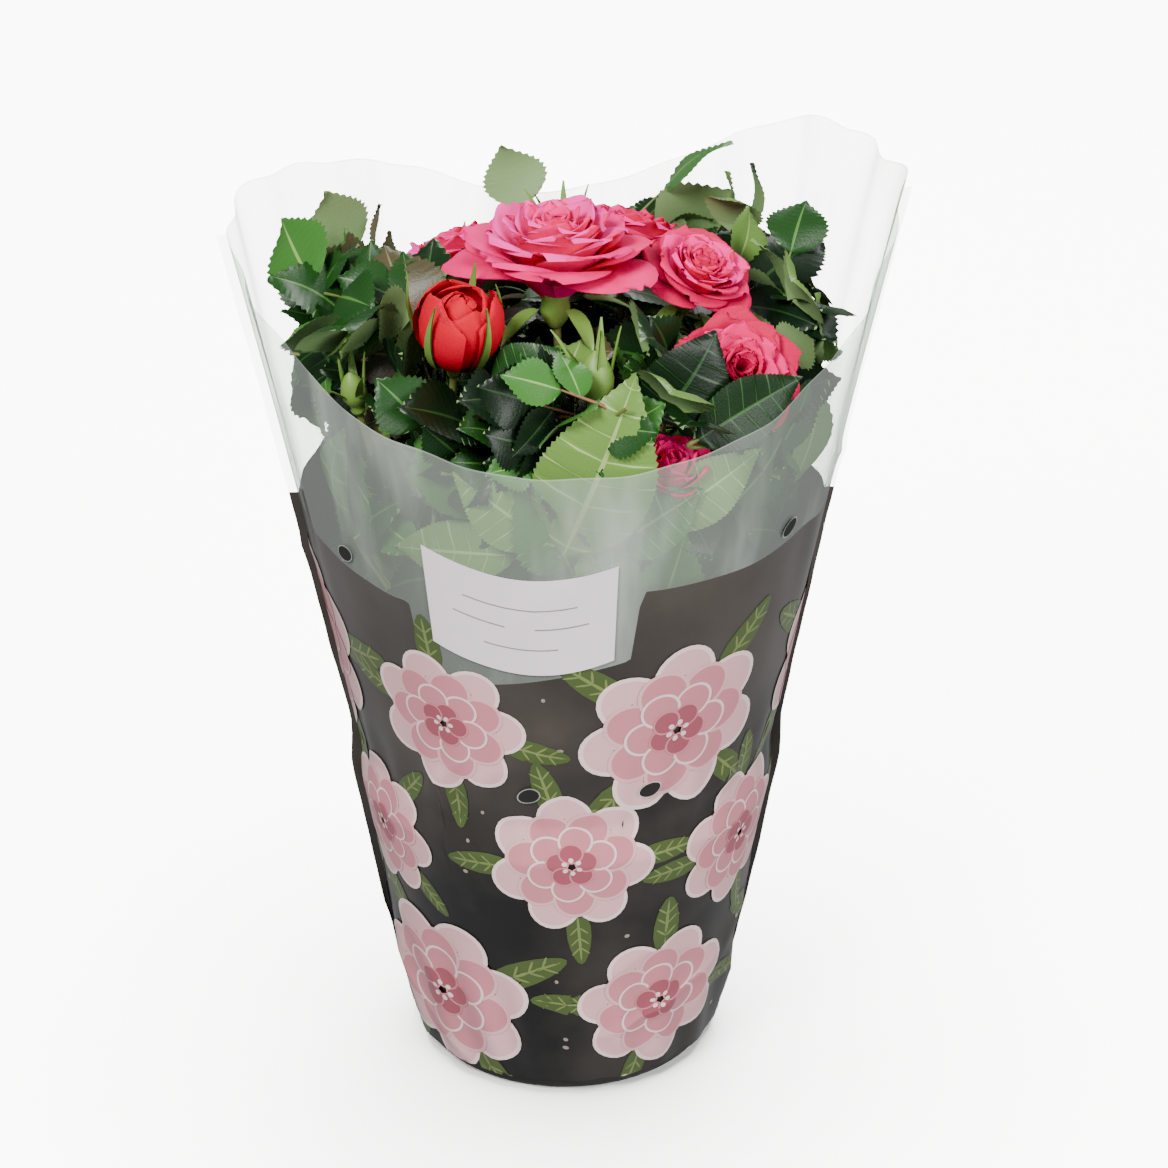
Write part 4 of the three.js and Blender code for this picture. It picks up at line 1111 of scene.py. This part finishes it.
# Length and width of the sepals, in radii, and their lean from root to tip.
SEPALS = {"open": (0.8, 0.11, (80, 150)), "ruffled": (0.9, 0.12, (70, 140)), "half": (1.4, 0.13, (50, 100)),
          "bud": (2.45, 0.13, (56, -18))}
GREEN_SEPAL = {"length": 4.3, "width": 0.34, "start": 14, "end": (-6, 60)}
SEPAL_FORM = {"rows": 9, "columns": 5, "root": 0.25, "drop": 0.1, "trough": 0.18, "thickness": 0.3}
SEPAL_COUNT = 5
STRAY = {"petal": 14, "sepal": 24, "green_sepal": 20, "lean": 40}  # degrees by which single ones differ
# Outlines of a green bud and of the hip below a bloom, as reach and height in the head's radii.
GREEN_PROFILE = [(0.2, -0.45), (0.42, -0.3), (0.5, -0.05), (0.42, 0.18), (0.6, 0.5), (0.84, 0.95),
                 (0.88, 1.4), (0.74, 2.0), (0.42, 2.55), (0.06, 2.9)]
HIP_PROFILE = [(0.07, -0.36), (0.13, -0.28), (0.16, -0.16), (0.14, -0.05), (0.2, 0.04), (0.14, 0.1)]
PAINTED_LIGHT_TINTS = {"bloom_small_front": "pink"}  # paler tints than its like for a head that sits in shade: painted light
DEEPER = 1.3  # length of a ruffled bloom's petals where its solid is the deep, half-open kind


def petal(share, size, spec, draw):
    """A petal as a grid round the axis +Z; share runs from the innermost, 0, to the outermost, 1."""
    def between(key, power=1.0):
        return mix(*spec[key], share ** power)

    form = PETAL_FORM
    shoulder, row = form["shoulder"], form["shoulder_row"]
    round_end = np.radians(np.linspace(0, form["round_to"], PETAL_ROWS - row))
    straight = np.linspace(0, shoulder, row, endpoint=False)
    v = np.append(straight, mix(shoulder, 1, np.sin(round_end)))[:, None]
    u = np.linspace(-1, 1, PETAL_COLUMNS)[None, :]
    out = np.abs(u)
    fine = np.linspace(0, 1, form["samples"])
    lean_end = between("end", spec["cup"]) + form["lean_spread"] * (draw() - 0.5)
    lean = np.radians(mix(between("start"), lean_end, fine ** between("flare")))
    length = size * between("length") * mix(*form["length_range"], draw())
    reach = size * between("base") + length * np.cumsum(np.sin(lean)) / form["samples"]
    rise = length * np.cumsum(np.cos(lean)) / form["samples"]
    rounded = v * (1 - spec["point"] * out ** 1.7)
    r = np.interp(rounded, fine, reach)
    z = np.interp(rounded, fine, rise)
    low = mix(form["root"], 1, np.sin(pi / 2 * np.minimum(v / shoulder, 1)))
    high = np.append(np.ones(row), np.cos(round_end))[:, None]
    half = size * between("half") * low * high
    spin = np.minimum(half / np.maximum(r, 0.05 * size), mix(*form["wrap"], share)) * u
    curl = spec["roll"] * share * size * np.maximum(out - form["curl_from"], 0) ** 2 * v
    r = r * (1 + form["overlap"] * u * (1 - form["overlap_fade"] * share)) + form["curl_out"] * curl
    ruffle = form["wave"] * spec["ruffle"] * size
    wave = np.sin(3.4 * u + 6 * draw()) + 0.4 * np.sin(7.5 * u + 6 * draw())
    z = z - curl + ruffle * wave * v ** 2
    r = r + ruffle * np.sin(6.1 * u + 6 * draw()) * v ** 3
    return np.stack([r * np.cos(spin), r * np.sin(spin), z + 0 * spin], axis=-1)


def turned(points, axis, foot, spin):
    """Points round +Z, spun, leant to an axis and set on a foot."""
    matrix = UP.rotation_difference(axis).to_matrix() @ Matrix.Rotation(spin, 3, "Z")
    return points @ np.array(matrix).T + np.array(foot)


def sepal(surface, head, spin, length, width, starts, slot):
    """A narrow leafy sepal with a drawn-out tip, rooted at the head's foot."""
    form, rows = SEPAL_FORM, SEPAL_FORM["rows"]
    v = np.linspace(0, 1, rows)[:, None]
    u = np.linspace(-1, 1, form["columns"])[None, :]
    lean = np.radians(mix(starts[0], starts[1], v ** 0.8))
    reach = form["root"] * head.radius + length * np.cumsum(np.sin(lean), axis=0) / rows
    rise = length * np.cumsum(np.cos(lean), axis=0) / rows - form["drop"] * head.radius
    half = width * (np.sin(pi * np.minimum(0.12 + 0.9 * v, 1)) ** 0.8 + 0.06 * (1 - v)) * (1 - 0.5 * v)
    r = reach + form["trough"] * width * u ** 2
    points = np.stack([r, half * u, rise + 0 * u], axis=-1)
    for offset, flip in ((0, False), (-form["thickness"], True)):
        placed = points + normals_of(points) * offset
        surface.grid(turned(placed, head.axis, head.foot, spin), slot, flip=flip)


def lathe(profile, sides=24, scale=1):
    """Rings of points round the axis +Z, one for each reach and height of the profile."""
    angles = np.arange(sides) * 2 * pi / sides
    scaled = [(r * scale, z * scale) for r, z in profile]
    return np.array([[(r * cos(a), r * sin(a), z) for a in angles] for r, z in scaled])


def dress_head(head):
    """A bloom or bud on its stalk, with its hip and sepals."""
    draw = seeded_random(head.seed * 17)
    size = head.radius
    # Painted light: a listed head takes paler pink tints, though it sits in shade.
    color = PAINTED_LIGHT_TINTS.get(head.name, head.color if head.color != "green" else "rose")
    surface = Surface(*[f"petal_{color}_{i}" for i in range(5)], "calyx", "sepal", "bough")
    back, calyx, leafy, bark = 4, 5, 6, 7

    def on_head(points, spin=0):
        return turned(points, head.axis, head.foot, spin)

    points, radii = fine_line(head.stalk, 4)
    tube(surface, points, radii, 8, bark, relief=0.03, facing=head.stalk.facing)
    if head.kind == "green":
        surface.grid(on_head(lathe(GREEN_PROFILE, scale=size)), leafy, closed=True)
        length, width = GREEN_SEPAL["length"] * size, GREEN_SEPAL["width"] * size
        for i in range(SEPAL_COUNT):
            starts = (GREEN_SEPAL["start"], mix(*GREEN_SEPAL["end"], draw()))
            spin = radians(360 * i / SEPAL_COUNT + STRAY["green_sepal"] * draw())
            sepal(surface, head, spin, length, width, starts, leafy)
        surface.piece(f"{head.name}_petals", "green_bud", head.name)
        return
    style = STYLES.get(head.name, head.kind)
    spec = dict(BLOOMS[style])
    if style == "ruffled" and head.kind == "half":
        spec["length"] = tuple(DEEPER * share for share in spec["length"])
    for i in range(spec["petals"]):
        share = i / (spec["petals"] - 1)
        spin = radians(GOLDEN_TURN * i + STRAY["petal"] * (draw() - 0.5))
        points = petal(share, size, spec, draw)
        tint = max(PETAL_ORDER[int(5.4 * share + 0.6 * draw())] - (head.kind == "half"), 0)
        surface.grid(on_head(points, spin), tint, flip=True)
        surface.grid(on_head(points + normals_of(points) * PETAL_THICKNESS, spin), back)
    surface.grid(on_head(lathe(HIP_PROFILE, scale=size)), calyx, closed=True)
    length, width, (start, end) = SEPALS[style]
    for i in range(SEPAL_COUNT):
        starts = (start, end + STRAY["lean"] * (draw() - 0.5))
        spin = radians(360 * i / SEPAL_COUNT + STRAY["sepal"] * draw())
        sepal(surface, head, spin, length * size, width * size, starts, leafy)
    surface.piece(f"{head.name}_petals", HEAD_SLOTS[head.color], head.name)


# Pot and soil

POT_SIDES = 96
POT_LIP = 0.5
POT_RING = [(44, 0.35), (42, 0.35)]  # reach and height of the step inside the foot ring
DRAIN_RIM = 1
UNDERSIDE = 0.2
SOIL = {"inset": 1, "rows": 46, "columns": 120, "sunk": 1.2, "dish": 3, "lump": 0.8}
CRUMBS = {"count": 520, "reach": 0.97, "sunk": 1, "size": (0.7, 2.3), "light": 0.12, "widths": (0.6, 1.3),
          "heights": (0.5, 0.9), "profile": [(0.1, -1), (0.75, -0.6), (1, 0), (0.7, 0.6), (0.1, 0.95)]}


def dress_pot():
    """The pot's wall with its rolled rim, and its underside with the drain holes."""
    surface = Surface("pot")
    height, wall, floor = POT["height"], POT["wall"], POT["floor"]
    foot, neck, rim = POT["foot_radius"], POT["neck_radius"], POT["rim_radius"]
    under_rim = height - POT["rim_depth"]
    profile = [
        (foot - 3, 0), (foot - 0.8, UNDERSIDE), (foot, 1),
        (neck - 0.3, under_rim - 0.5), (neck, under_rim), (rim - 0.6, under_rim), (rim, under_rim + 0.7),
        (rim, height - POT_LIP), (rim - POT_LIP, height), (rim - wall + POT_LIP, height),
        (rim - wall, height - POT_LIP), (neck - wall, under_rim), (foot - wall, floor),
    ]
    outer, inner = (DRAIN["reach"] + way * (DRAIN["radius"] + DRAIN_RIM) for way in (1, -1))
    base = [(foot - 3, 0)] + POT_RING + [(outer, UNDERSIDE)]
    inside = [(foot - wall, floor), (0.5, floor)]
    middle = [(inner, UNDERSIDE), (0.5, UNDERSIDE)]
    for rings, flip in ((profile, False), (base, True), (inside, False), (middle, True)):
        surface.grid(lathe(rings, POT_SIDES), 0, closed=True, flip=flip)
    for i in range(DRAIN["count"]):
        drain_floor(surface, 2 * pi * i / DRAIN["count"], POT_SIDES // DRAIN["count"])
    surface.piece("pot_shell", "pot_plastic", "pot")


def drain_floor(surface, angle, steps):
    """The stretch of the pot's underside round one drain hole, and the hole's wall."""
    radius = DRAIN["radius"]
    half = pi / DRAIN["count"]
    hole, edge = [], []
    for turn in np.linspace(0, 2 * pi, 4 * steps, endpoint=False):
        x, y = cos(turn), sin(turn)
        hole.append((DRAIN["reach"] + radius * x, radius * y))
        scale = 1 / max(abs(x), abs(y))
        reach = DRAIN["reach"] + (radius + DRAIN_RIM) * x * scale
        spread = half * y * scale
        edge.append((reach * cos(spread), reach * sin(spread)))
    rows = []
    for ring, z in ((edge, UNDERSIDE), (hole, UNDERSIDE), (hole, POT["floor"])):
        rows.append([(x * cos(angle) - y * sin(angle), x * sin(angle) + y * cos(angle), z) for x, y in ring])
    surface.grid(np.array(rows), 0, closed=True)


def dress_soil():
    """A crumbled surface of peat with larger crumbs on it."""
    surface = Surface("soil", "soil_light")
    draw = seeded_random(SEEDS["soil"])
    radius = POT["neck_radius"] - POT["wall"] - SOIL["inset"]
    reach = np.linspace(0.02, 1, SOIL["rows"])[:, None] * radius
    angle = (np.arange(SOIL["columns"]) * 2 * pi / SOIL["columns"])[None, :]
    x, y = reach * np.cos(angle), reach * np.sin(angle)
    lumps = (np.sin(0.31 * x + 1.3) * np.sin(0.37 * y) + 0.6 * np.sin(0.83 * x + 0.5 * y)
             + 0.5 * np.sin(1.7 * x - 1.1 * y) * np.sin(1.3 * y + 0.4))
    z = SOIL_TOP - SOIL["sunk"] - SOIL["dish"] * (reach / radius) ** 4 + SOIL["lump"] * lumps
    surface.grid(np.stack([x, y, z], axis=-1), 0, closed=True)
    edge, bottom = SOIL_TOP - SOIL["sunk"] - SOIL["dish"], POT["floor"] + 1
    below = [(radius, edge), (POT["foot_radius"] - 2.2, bottom), (0.5, bottom)]
    surface.grid(lathe(below, SOIL["columns"]), 0, closed=True)
    for _ in range(CRUMBS["count"]):
        spin, far = 360 * draw(), radius * sqrt(draw()) * CRUMBS["reach"]
        spot = place(spin, far, SOIL_TOP - CRUMBS["sunk"] - SOIL["dish"] * (far / radius) ** 4)
        size = mix(*CRUMBS["size"], draw() ** 2)
        stretch = [mix(*CRUMBS[key], draw()) for key in ("widths", "widths", "heights")]
        crumb = lathe(CRUMBS["profile"], 7) * size * stretch + np.array(spot)
        surface.grid(crumb, 1 if draw() < CRUMBS["light"] else 0, closed=True)
    surface.piece("soil_surface", "soil", "soil")


# Sleeve

FILM = {"columns": 288, "print_rows": 64, "clear_rows": 56, "inset": 0.4, "edge": 0.6}
RIM_RIPPLES = [(1.2, 9, 0), (0.8, 23, 1)]  # depth, number all round, shift
# The film's radius at heights from its hem to beyond its rim.
PROFILE_HEIGHTS = [SLEEVE["hem"], SNUG["bottom"], SNUG["top"], SLEEVE["right_rim"] + 100]
PROFILE_RADII = [SLEEVE["hem_radius"], SNUG["radius"], SNUG["radius"], film_radius(PROFILE_HEIGHTS[-1])]
# Depth of the film's folds and their number all round: broad ones, flutes at its corners, fine ones, and
# crumples at the pot's rim and foot.
FOLDS = {"broad": (1.5, 7), "corner": (1.6, 24), "fine": (0.7, 13), "rim": (0.45, 31), "foot": (0.7, 19)}
CRUMPLES = {"rim": (122, 13), "foot": (26, 26)}  # height and reach
CREASES = {"count": 40, "low_share": 0.6, "low": (12, 60), "high": (92, 240), "slope": (-1.2, 1.2),
           "length": (16, 44), "depth": (0.4, 1.3), "width": (2.2, 4.6), "below_rim": 0.8}
SEAM = {"width": 3.2, "rise": 60, "least": 0.15, "points": 40}
PRINT = {"edge": 205, "sway": 6, "ripple": 2.5}
LABEL = {"turn": -12.3, "width": 61, "height": 38, "middle": 204, "sag": 6.5, "slope": 0.03, "window": 75,
         "window_drop": 27, "window_side": 3, "line": 0.0135, "lifts": (0.45, 0.6, 0.66)}
LABEL_LINES = [(0.18, -0.3, 0.3), (-0.02, -0.36, -0.08), (-0.02, 0.08, 0.36), (-0.24, -0.2, 0.2)]


def draw_creases():
    """Creases as straight lines over the unrolled film: where, how long, their slope and their depth."""
    draw = seeded_random(SEEDS["creases"])
    drawn = []
    for _ in range(CREASES["count"]):
        band = "low" if draw() < CREASES["low_share"] else "high"
        crease = {"angle": 2 * pi * draw(), "z": mix(*CREASES[band], draw())}
        crease.update((key, mix(*CREASES[key], draw())) for key in ("slope", "length", "depth", "width"))
        drawn.append(crease)
    return drawn


DRAWN_CREASES = draw_creases()


def calm_front(angle):
    """Share of the folds that is left at the smooth front and back of the film."""
    return 0.35 + 0.65 * np.sin(angle) ** 2


def fold(name, angle, shift):
    depth, count = FOLDS[name]
    return depth * np.sin(count * angle + shift)


def crumple(name, z):
    middle, reach = CRUMPLES[name]
    return np.exp(-((z - middle) / reach) ** 2)


def around(angle):
    """An angle brought to within half a turn of 0."""
    return (angle + pi) % (2 * pi) - pi


def film_points(angle, z, lift=0):
    """Points of the dressed film, angle from the front towards the right, in arrays."""
    angle, z = np.broadcast_arrays(np.asarray(angle, float), np.asarray(z, float))
    side = np.abs(np.sin(angle))
    opening = np.clip((z - SNUG["top"]) / (SLEEVE["right_rim"] - SNUG["top"]), 0, 1)
    radius = np.interp(z, PROFILE_HEIGHTS, PROFILE_RADII) * (1 + SLEEVE["seam_reach"] * opening * side ** 7)
    radius = radius + opening * calm_front(angle) * fold("broad", angle, 0.8 + 1.6 * np.sin(2 * angle))
    radius = radius + opening ** 2 * side ** 6 * fold("corner", angle, 0.012 * z + 2 * np.sin(angle))
    radius = radius + opening * fold("fine", angle, 0.02 * z)
    radius = radius + crumple("rim", z) * fold("rim", angle, 2.6 * np.sin(3 * angle))
    foot = FOLDS["foot"][0] + fold("foot", angle, 2.2 * np.sin(2 * angle) + 0.05 * z)
    radius = radius + crumple("foot", z) * foot - FILM["inset"]
    for crease in DRAWN_CREASES:
        across, up = around(angle - crease["angle"]) * radius, z - crease["z"]
        far = (up - crease["slope"] * across) / hypot(1, crease["slope"])
        along = (across + crease["slope"] * up) / hypot(1, crease["slope"])
        shape = np.exp(-np.abs(far) / crease["width"]) * np.exp(-(along / crease["length"]) ** 2)
        radius = radius + crease["depth"] * shape * np.where(z > SNUG["top"], 1, CREASES["below_rim"])
    radius = radius + lift
    return np.stack([radius * np.sin(angle), -radius * np.cos(angle), z], axis=-1)


def print_edge(angle):
    """Height of the printed design's upper edge; it dips below the label."""
    height = PRINT["edge"] + PRINT["sway"] * np.sin(2 * angle + 0.6)
    height = height + PRINT["ripple"] * np.sin(5 * angle + 2)
    across = np.abs(around(angle - radians(LABEL["turn"]))) * film_radius(LABEL["middle"])
    side = LABEL["window_side"]
    inside = np.clip((LABEL["window"] / 2 + side / 2 - across) / side, 0, 1)
    drop = LABEL["window_drop"] + LABEL["sag"] * (1 - (2 * across / LABEL["window"]) ** 2)
    return height - drop * inside * inside * (3 - 2 * inside)


def dress_film():
    """The film: its printed lower part, its clear upper part and a thin edge along its rim, hazier as a
    painted highlight on the cut edge.
    """
    surface = Surface("film", "print", "film_edge")
    angle = np.linspace(0, 2 * pi, FILM["columns"], endpoint=False)
    edge = print_edge(angle)
    ripple = calm_front(angle) * sum(depth * np.sin(n * angle + shift) for depth, n, shift in RIM_RIPPLES)
    rim = np.array([rim_height(a) for a in angle]) + ripple
    for low, high, rows, slot in ((SLEEVE["hem"], edge, "print_rows", 1), (edge, rim, "clear_rows", 0)):
        share = np.linspace(0, 1, FILM[rows])[:, None]
        surface.grid(film_points(angle[None, :], mix(low, high, share)), slot, closed=True)
    # A thin band of hazier film above the rim: the cut edge, with a painted highlight.
    band = np.stack([rim, rim + FILM["edge"] / 2, rim + FILM["edge"]])
    surface.grid(film_points(angle[None, :], band), 2, closed=True)
    surface.piece("sleeve_film", "clear_film", "sleeve")


def dress_seams():
    """The welded fins at the left and right sides."""
    surface = Surface("film", "print")
    for angle in (pi / 2, -pi / 2):
        edge = float(print_edge(np.array(angle)))
        for low, high, slot in ((SLEEVE["hem"], edge, 1), (edge, rim_height(angle), 0)):
            z = np.linspace(low, high, SEAM["points"])
            width = SEAM["width"] * np.clip((z - SLEEVE["hem"]) / SEAM["rise"], SEAM["least"], 1)
            wave = 0.6 * np.sin(0.11 * z) + 0.4 * np.sin(0.37 * z + 1)
            lines = [film_points(angle, z, -0.2)]
            for share in (0.5, 1):
                aside = np.stack([0 * z, share * wave, 0 * z], axis=-1)
                lines.append(film_points(angle, z, share * width) + aside)
            surface.grid(np.stack(lines, axis=1), slot)
    surface.piece("sleeve_seams", "clear_film")


# The printed design: shapes laid on the film, each a little higher than what it covers.

PLAIN_SHARES = (0.02, 0.4, 0.75, 1)  # how far out from its middle the rings of a shape lie
EDGED_SHARES = (0.02, 0.2, 0.38, 0.56, 0.72, 0.86, 1)


def flat_shape(surface, angle0, z0, outline, slot, lift, edge=None):
    """A flat outline in millimetres, laid on the film round a point; its edge may have its own colour."""
    outline = np.array(outline)
    middle = outline.mean(axis=0)
    shares = np.array(PLAIN_SHARES if edge is None else EDGED_SHARES)[:, None, None]
    spread = middle + (outline - middle) * shares
    height = np.maximum(z0 + spread[..., 1], SLEEVE["hem"])
    points = film_points(angle0 + spread[..., 0] / film_radius(z0), height, lift)
    slots = np.full((len(shares) - 1, 1), slot)
    if edge is not None:
        slots[-1] = edge
    surface.grid(points, slots, closed=True)


def drop_outline(turn, start, length, width, count=14, point=0.0):
    """A rounded petal or leaf that reaches out from start at a turn."""
    outline = []
    for i in range(count):
        t = 2 * pi * i / count
        along = start + length * (1 - cos(t)) / 2
        across = width / 2 * sin(t) * (1 - point * (1 - cos(t)) / 2)
        outline.append((along * cos(turn) - across * sin(turn), along * sin(turn) + across * cos(turn)))
    return outline


PRINT_COLORS = {
    "pale": 0xE5B2B6, "pink": 0xCF838D, "deep": 0xA2505E, "white": 0xF2D8D6, "olive": 0x47572A,
    "vein": 0x73834A, "dot": 0x9A8A80, "label": 0xF4E8F2,
}
for key, code in PRINT_COLORS.items():
    MATERIALS[f"print_{key}"] = material(f"print_{key}", code, 0.32, coat=0.5, grain=160, relief=0.1)
INKS = [key for key in PRINT_COLORS if key != "label"]
BLOSSOM_RINGS = [  # number of petals, their start, length and width in radii, colours of their edge and body
    (7, 0.3, 0.72, 0.66, "white", "pale"),
    (7, 0.22, 0.58, 0.54, "pale", "pink"),
    (6, 0.14, 0.42, 0.42, "white", "pink"),
    (5, 0.04, 0.28, 0.3, "pink", "deep"),
]
BLOSSOM_LIFT = {"first": 0.3, "ring": 0.17, "petal": 0.02, "dots": 0.98}
BLOSSOM_DOTS = {"count": 6, "start": 0.06, "length": 0.07, "width": 0.06}
PRINTED_LEAF = {"start": 0.72, "length": 0.85, "width": 0.45, "point": 0.35, "rib": 0.045,
                "veins": (0.3, 0.5, 0.68), "slant": 0.8, "vein": 0.2, "vein_width": 0.03, "lift": 0.12,
                "layer": 0.06, "vein_lift": 0.03}
BLOSSOM_ROWS = [(38, 31, 5), (96, 27, 6), (152, 31, 6)]  # height, radius, number all round
BLOSSOM_SPREAD = {"angle": 0.16, "height": 9, "size": (0.85, 1.12), "leaves": 4}
DOTS = {"count": 260, "height": (12, 176), "size": (1.2, 2.4), "room": 5, "lift": 0.1}
# Vent holes: turn from the front in degrees, and height.
VENTS = [(-58, 205), (52, 216), (-12, 128), (20, 128), (126, 206), (-122, 206), (168, 128), (-160, 128)]
VENT = {"length": 7.2, "width": 5.2, "turn": 0.5}
VENT_LAYERS = ((1.14, 1, 0.86), (1, 0, 0.94))  # size, slot and lift of the pale rim and the dark hole; the hole is painted shade of the inside


def printed_blossom(surface, angle, z, size, turn):
    """A plain layered blossom: rings of round petals with paler edges round a dotted middle."""
    for ring, (count, start, length, width, edge, body) in enumerate(BLOSSOM_RINGS):
        for i in range(count):
            direction = turn + 2 * pi * i / count + 0.4 * ring
            lift = BLOSSOM_LIFT["first"] + BLOSSOM_LIFT["ring"] * ring + BLOSSOM_LIFT["petal"] * i
            outline = drop_outline(direction, start * size, length * size, width * size, 24)
            flat_shape(surface, angle, z, outline, INKS.index(body), lift, INKS.index(edge))
    start, length, width = (BLOSSOM_DOTS[key] * size for key in ("start", "length", "width"))
    for i in range(BLOSSOM_DOTS["count"]):
        dot = drop_outline(turn + 2 * pi * i / BLOSSOM_DOTS["count"], start, length, width, 8)
        flat_shape(surface, angle, z, dot, INKS.index("white"), BLOSSOM_LIFT["dots"])


def printed_leaf(surface, angle, z, turn, start, length, layer):
    """A leaf with its rib and three pairs of side veins."""
    form, olive, vein = PRINTED_LEAF, INKS.index("olive"), INKS.index("vein")
    lift = form["lift"] + form["layer"] * layer
    blade = drop_outline(turn, start, length, form["width"] * length, 16, form["point"])
    rib = drop_outline(turn, start + 1, 0.9 * length, form["rib"] * length, 10)
    flat_shape(surface, angle, z, blade, olive, lift)
    flat_shape(surface, angle, z, rib, vein, lift + form["vein_lift"])
    for share in form["veins"]:
        root = start + share * length
        for way in (-form["slant"], form["slant"]):
            outline = drop_outline(turn + way, 0, form["vein"] * length, form["vein_width"] * length, 8)
            outline = [(root * cos(turn) + x, root * sin(turn) + y) for x, y in outline]
            flat_shape(surface, angle, z, outline, vein, lift + form["vein_lift"])


def dress_print():
    """The sleeve's printed design, a plain one: blossoms with leaves, and small dots between them."""
    draw = seeded_random(SEEDS["print"])
    surface = Surface(*[f"print_{ink}" for ink in INKS])
    spread, leaves = BLOSSOM_SPREAD, BLOSSOM_SPREAD["leaves"]
    middles = []
    for row, (z, size, count) in enumerate(BLOSSOM_ROWS):
        for i in range(count):
            angle = 2 * pi * (i + 0.5 * (row % 2) + spread["angle"] * (draw() - 0.5)) / count + 0.5
            height = z + spread["height"] * (draw() - 0.5)
            turn = 2 * pi * draw()
            radius = size * mix(*spread["size"], draw())
            for side in range(leaves):
                direction = turn + side * 2 * pi / leaves + 0.5 * (draw() - 0.5)
                start, length = PRINTED_LEAF["start"] * radius, PRINTED_LEAF["length"] * radius
                printed_leaf(surface, angle, height, direction, start, length, side % 2)
            printed_blossom(surface, angle, height, radius, turn)
            middles.append((angle, height, radius))
    for _ in range(DOTS["count"]):
        angle, z, size = 2 * pi * draw(), mix(*DOTS["height"], draw()), mix(*DOTS["size"], draw())
        gaps = [hypot(around(angle - a) * film_radius(z), z - b) - c for a, b, c in middles]
        if min(gaps) > DOTS["room"]:
            dot = drop_outline(0, -0.8, size, 1.6, 8)
            flat_shape(surface, angle, z, dot, INKS.index("dot"), DOTS["lift"])
    surface.piece("sleeve_print", "clear_film")


def dress_vents():
    """The sleeve's oval vent holes, laid on uncut: each a dark oval of painted shade for the shaded inside,
    within a thin pale rim.
    """
    surface = Surface("hole", "film_edge")
    for turn, z in VENTS:
        for share, slot, lift in VENT_LAYERS:
            length, width = VENT["length"] * share, VENT["width"] * share
            outline = drop_outline(VENT["turn"], -length / 2, length, width, 18)
            flat_shape(surface, radians(turn), z, outline, slot, lift)
    surface.piece("sleeve_vents", "clear_film")


def dress_label():
    """The label, bare but for thin lines."""
    surface = Surface("print_label", "print_dot")

    def on_label(across, up, lift):
        """Points of the label, across and up as shares of its width and height; it sags in the middle."""
        x, y = np.broadcast_arrays(across * LABEL["width"], up * LABEL["height"])
        angle = radians(LABEL["turn"]) + x / film_radius(LABEL["middle"])
        sag = LABEL["sag"] * (1 - 4 * across ** 2)
        return film_points(angle, LABEL["middle"] + y - LABEL["slope"] * x - sag, lift)

    back, front, lines = LABEL["lifts"]
    across, up = np.linspace(-0.5, 0.5, 25)[None, :], np.linspace(-0.5, 0.5, 9)[:, None]
    surface.grid(on_label(across, up, front), 0)
    surface.grid(on_label(across, up, back), 0, flip=True)
    for low, left, right in LABEL_LINES:
        across, up = np.linspace(left, right, 9)[None, :], low + np.array([[0], [LABEL["line"]]])
        surface.grid(on_label(across, up, lines), 1)
    surface.piece("sleeve_label", "clear_film")


# Putting it together

camera()
studio()
cane_list, heads, masses = grow_limbs()
dress_pot()
dress_soil()
for cane in cane_list:
    dress_limb(cane, f"{cane.name}_bark", "cane_bark", sides=20, relief=0.07, bark="cane", thorns=5)
for mass in masses:
    name = f"{mass.bough.name}_bark"
    dress_limb(mass.bough, name, "green_bark", sides=10, relief=0.05, bark="bough", thorns=2)
    dress_mass(mass)
dress_film_leaves(masses, heads)
for head in heads:
    dress_head(head)
dress_film()
dress_seams()
dress_print()
dress_vents()
dress_label()
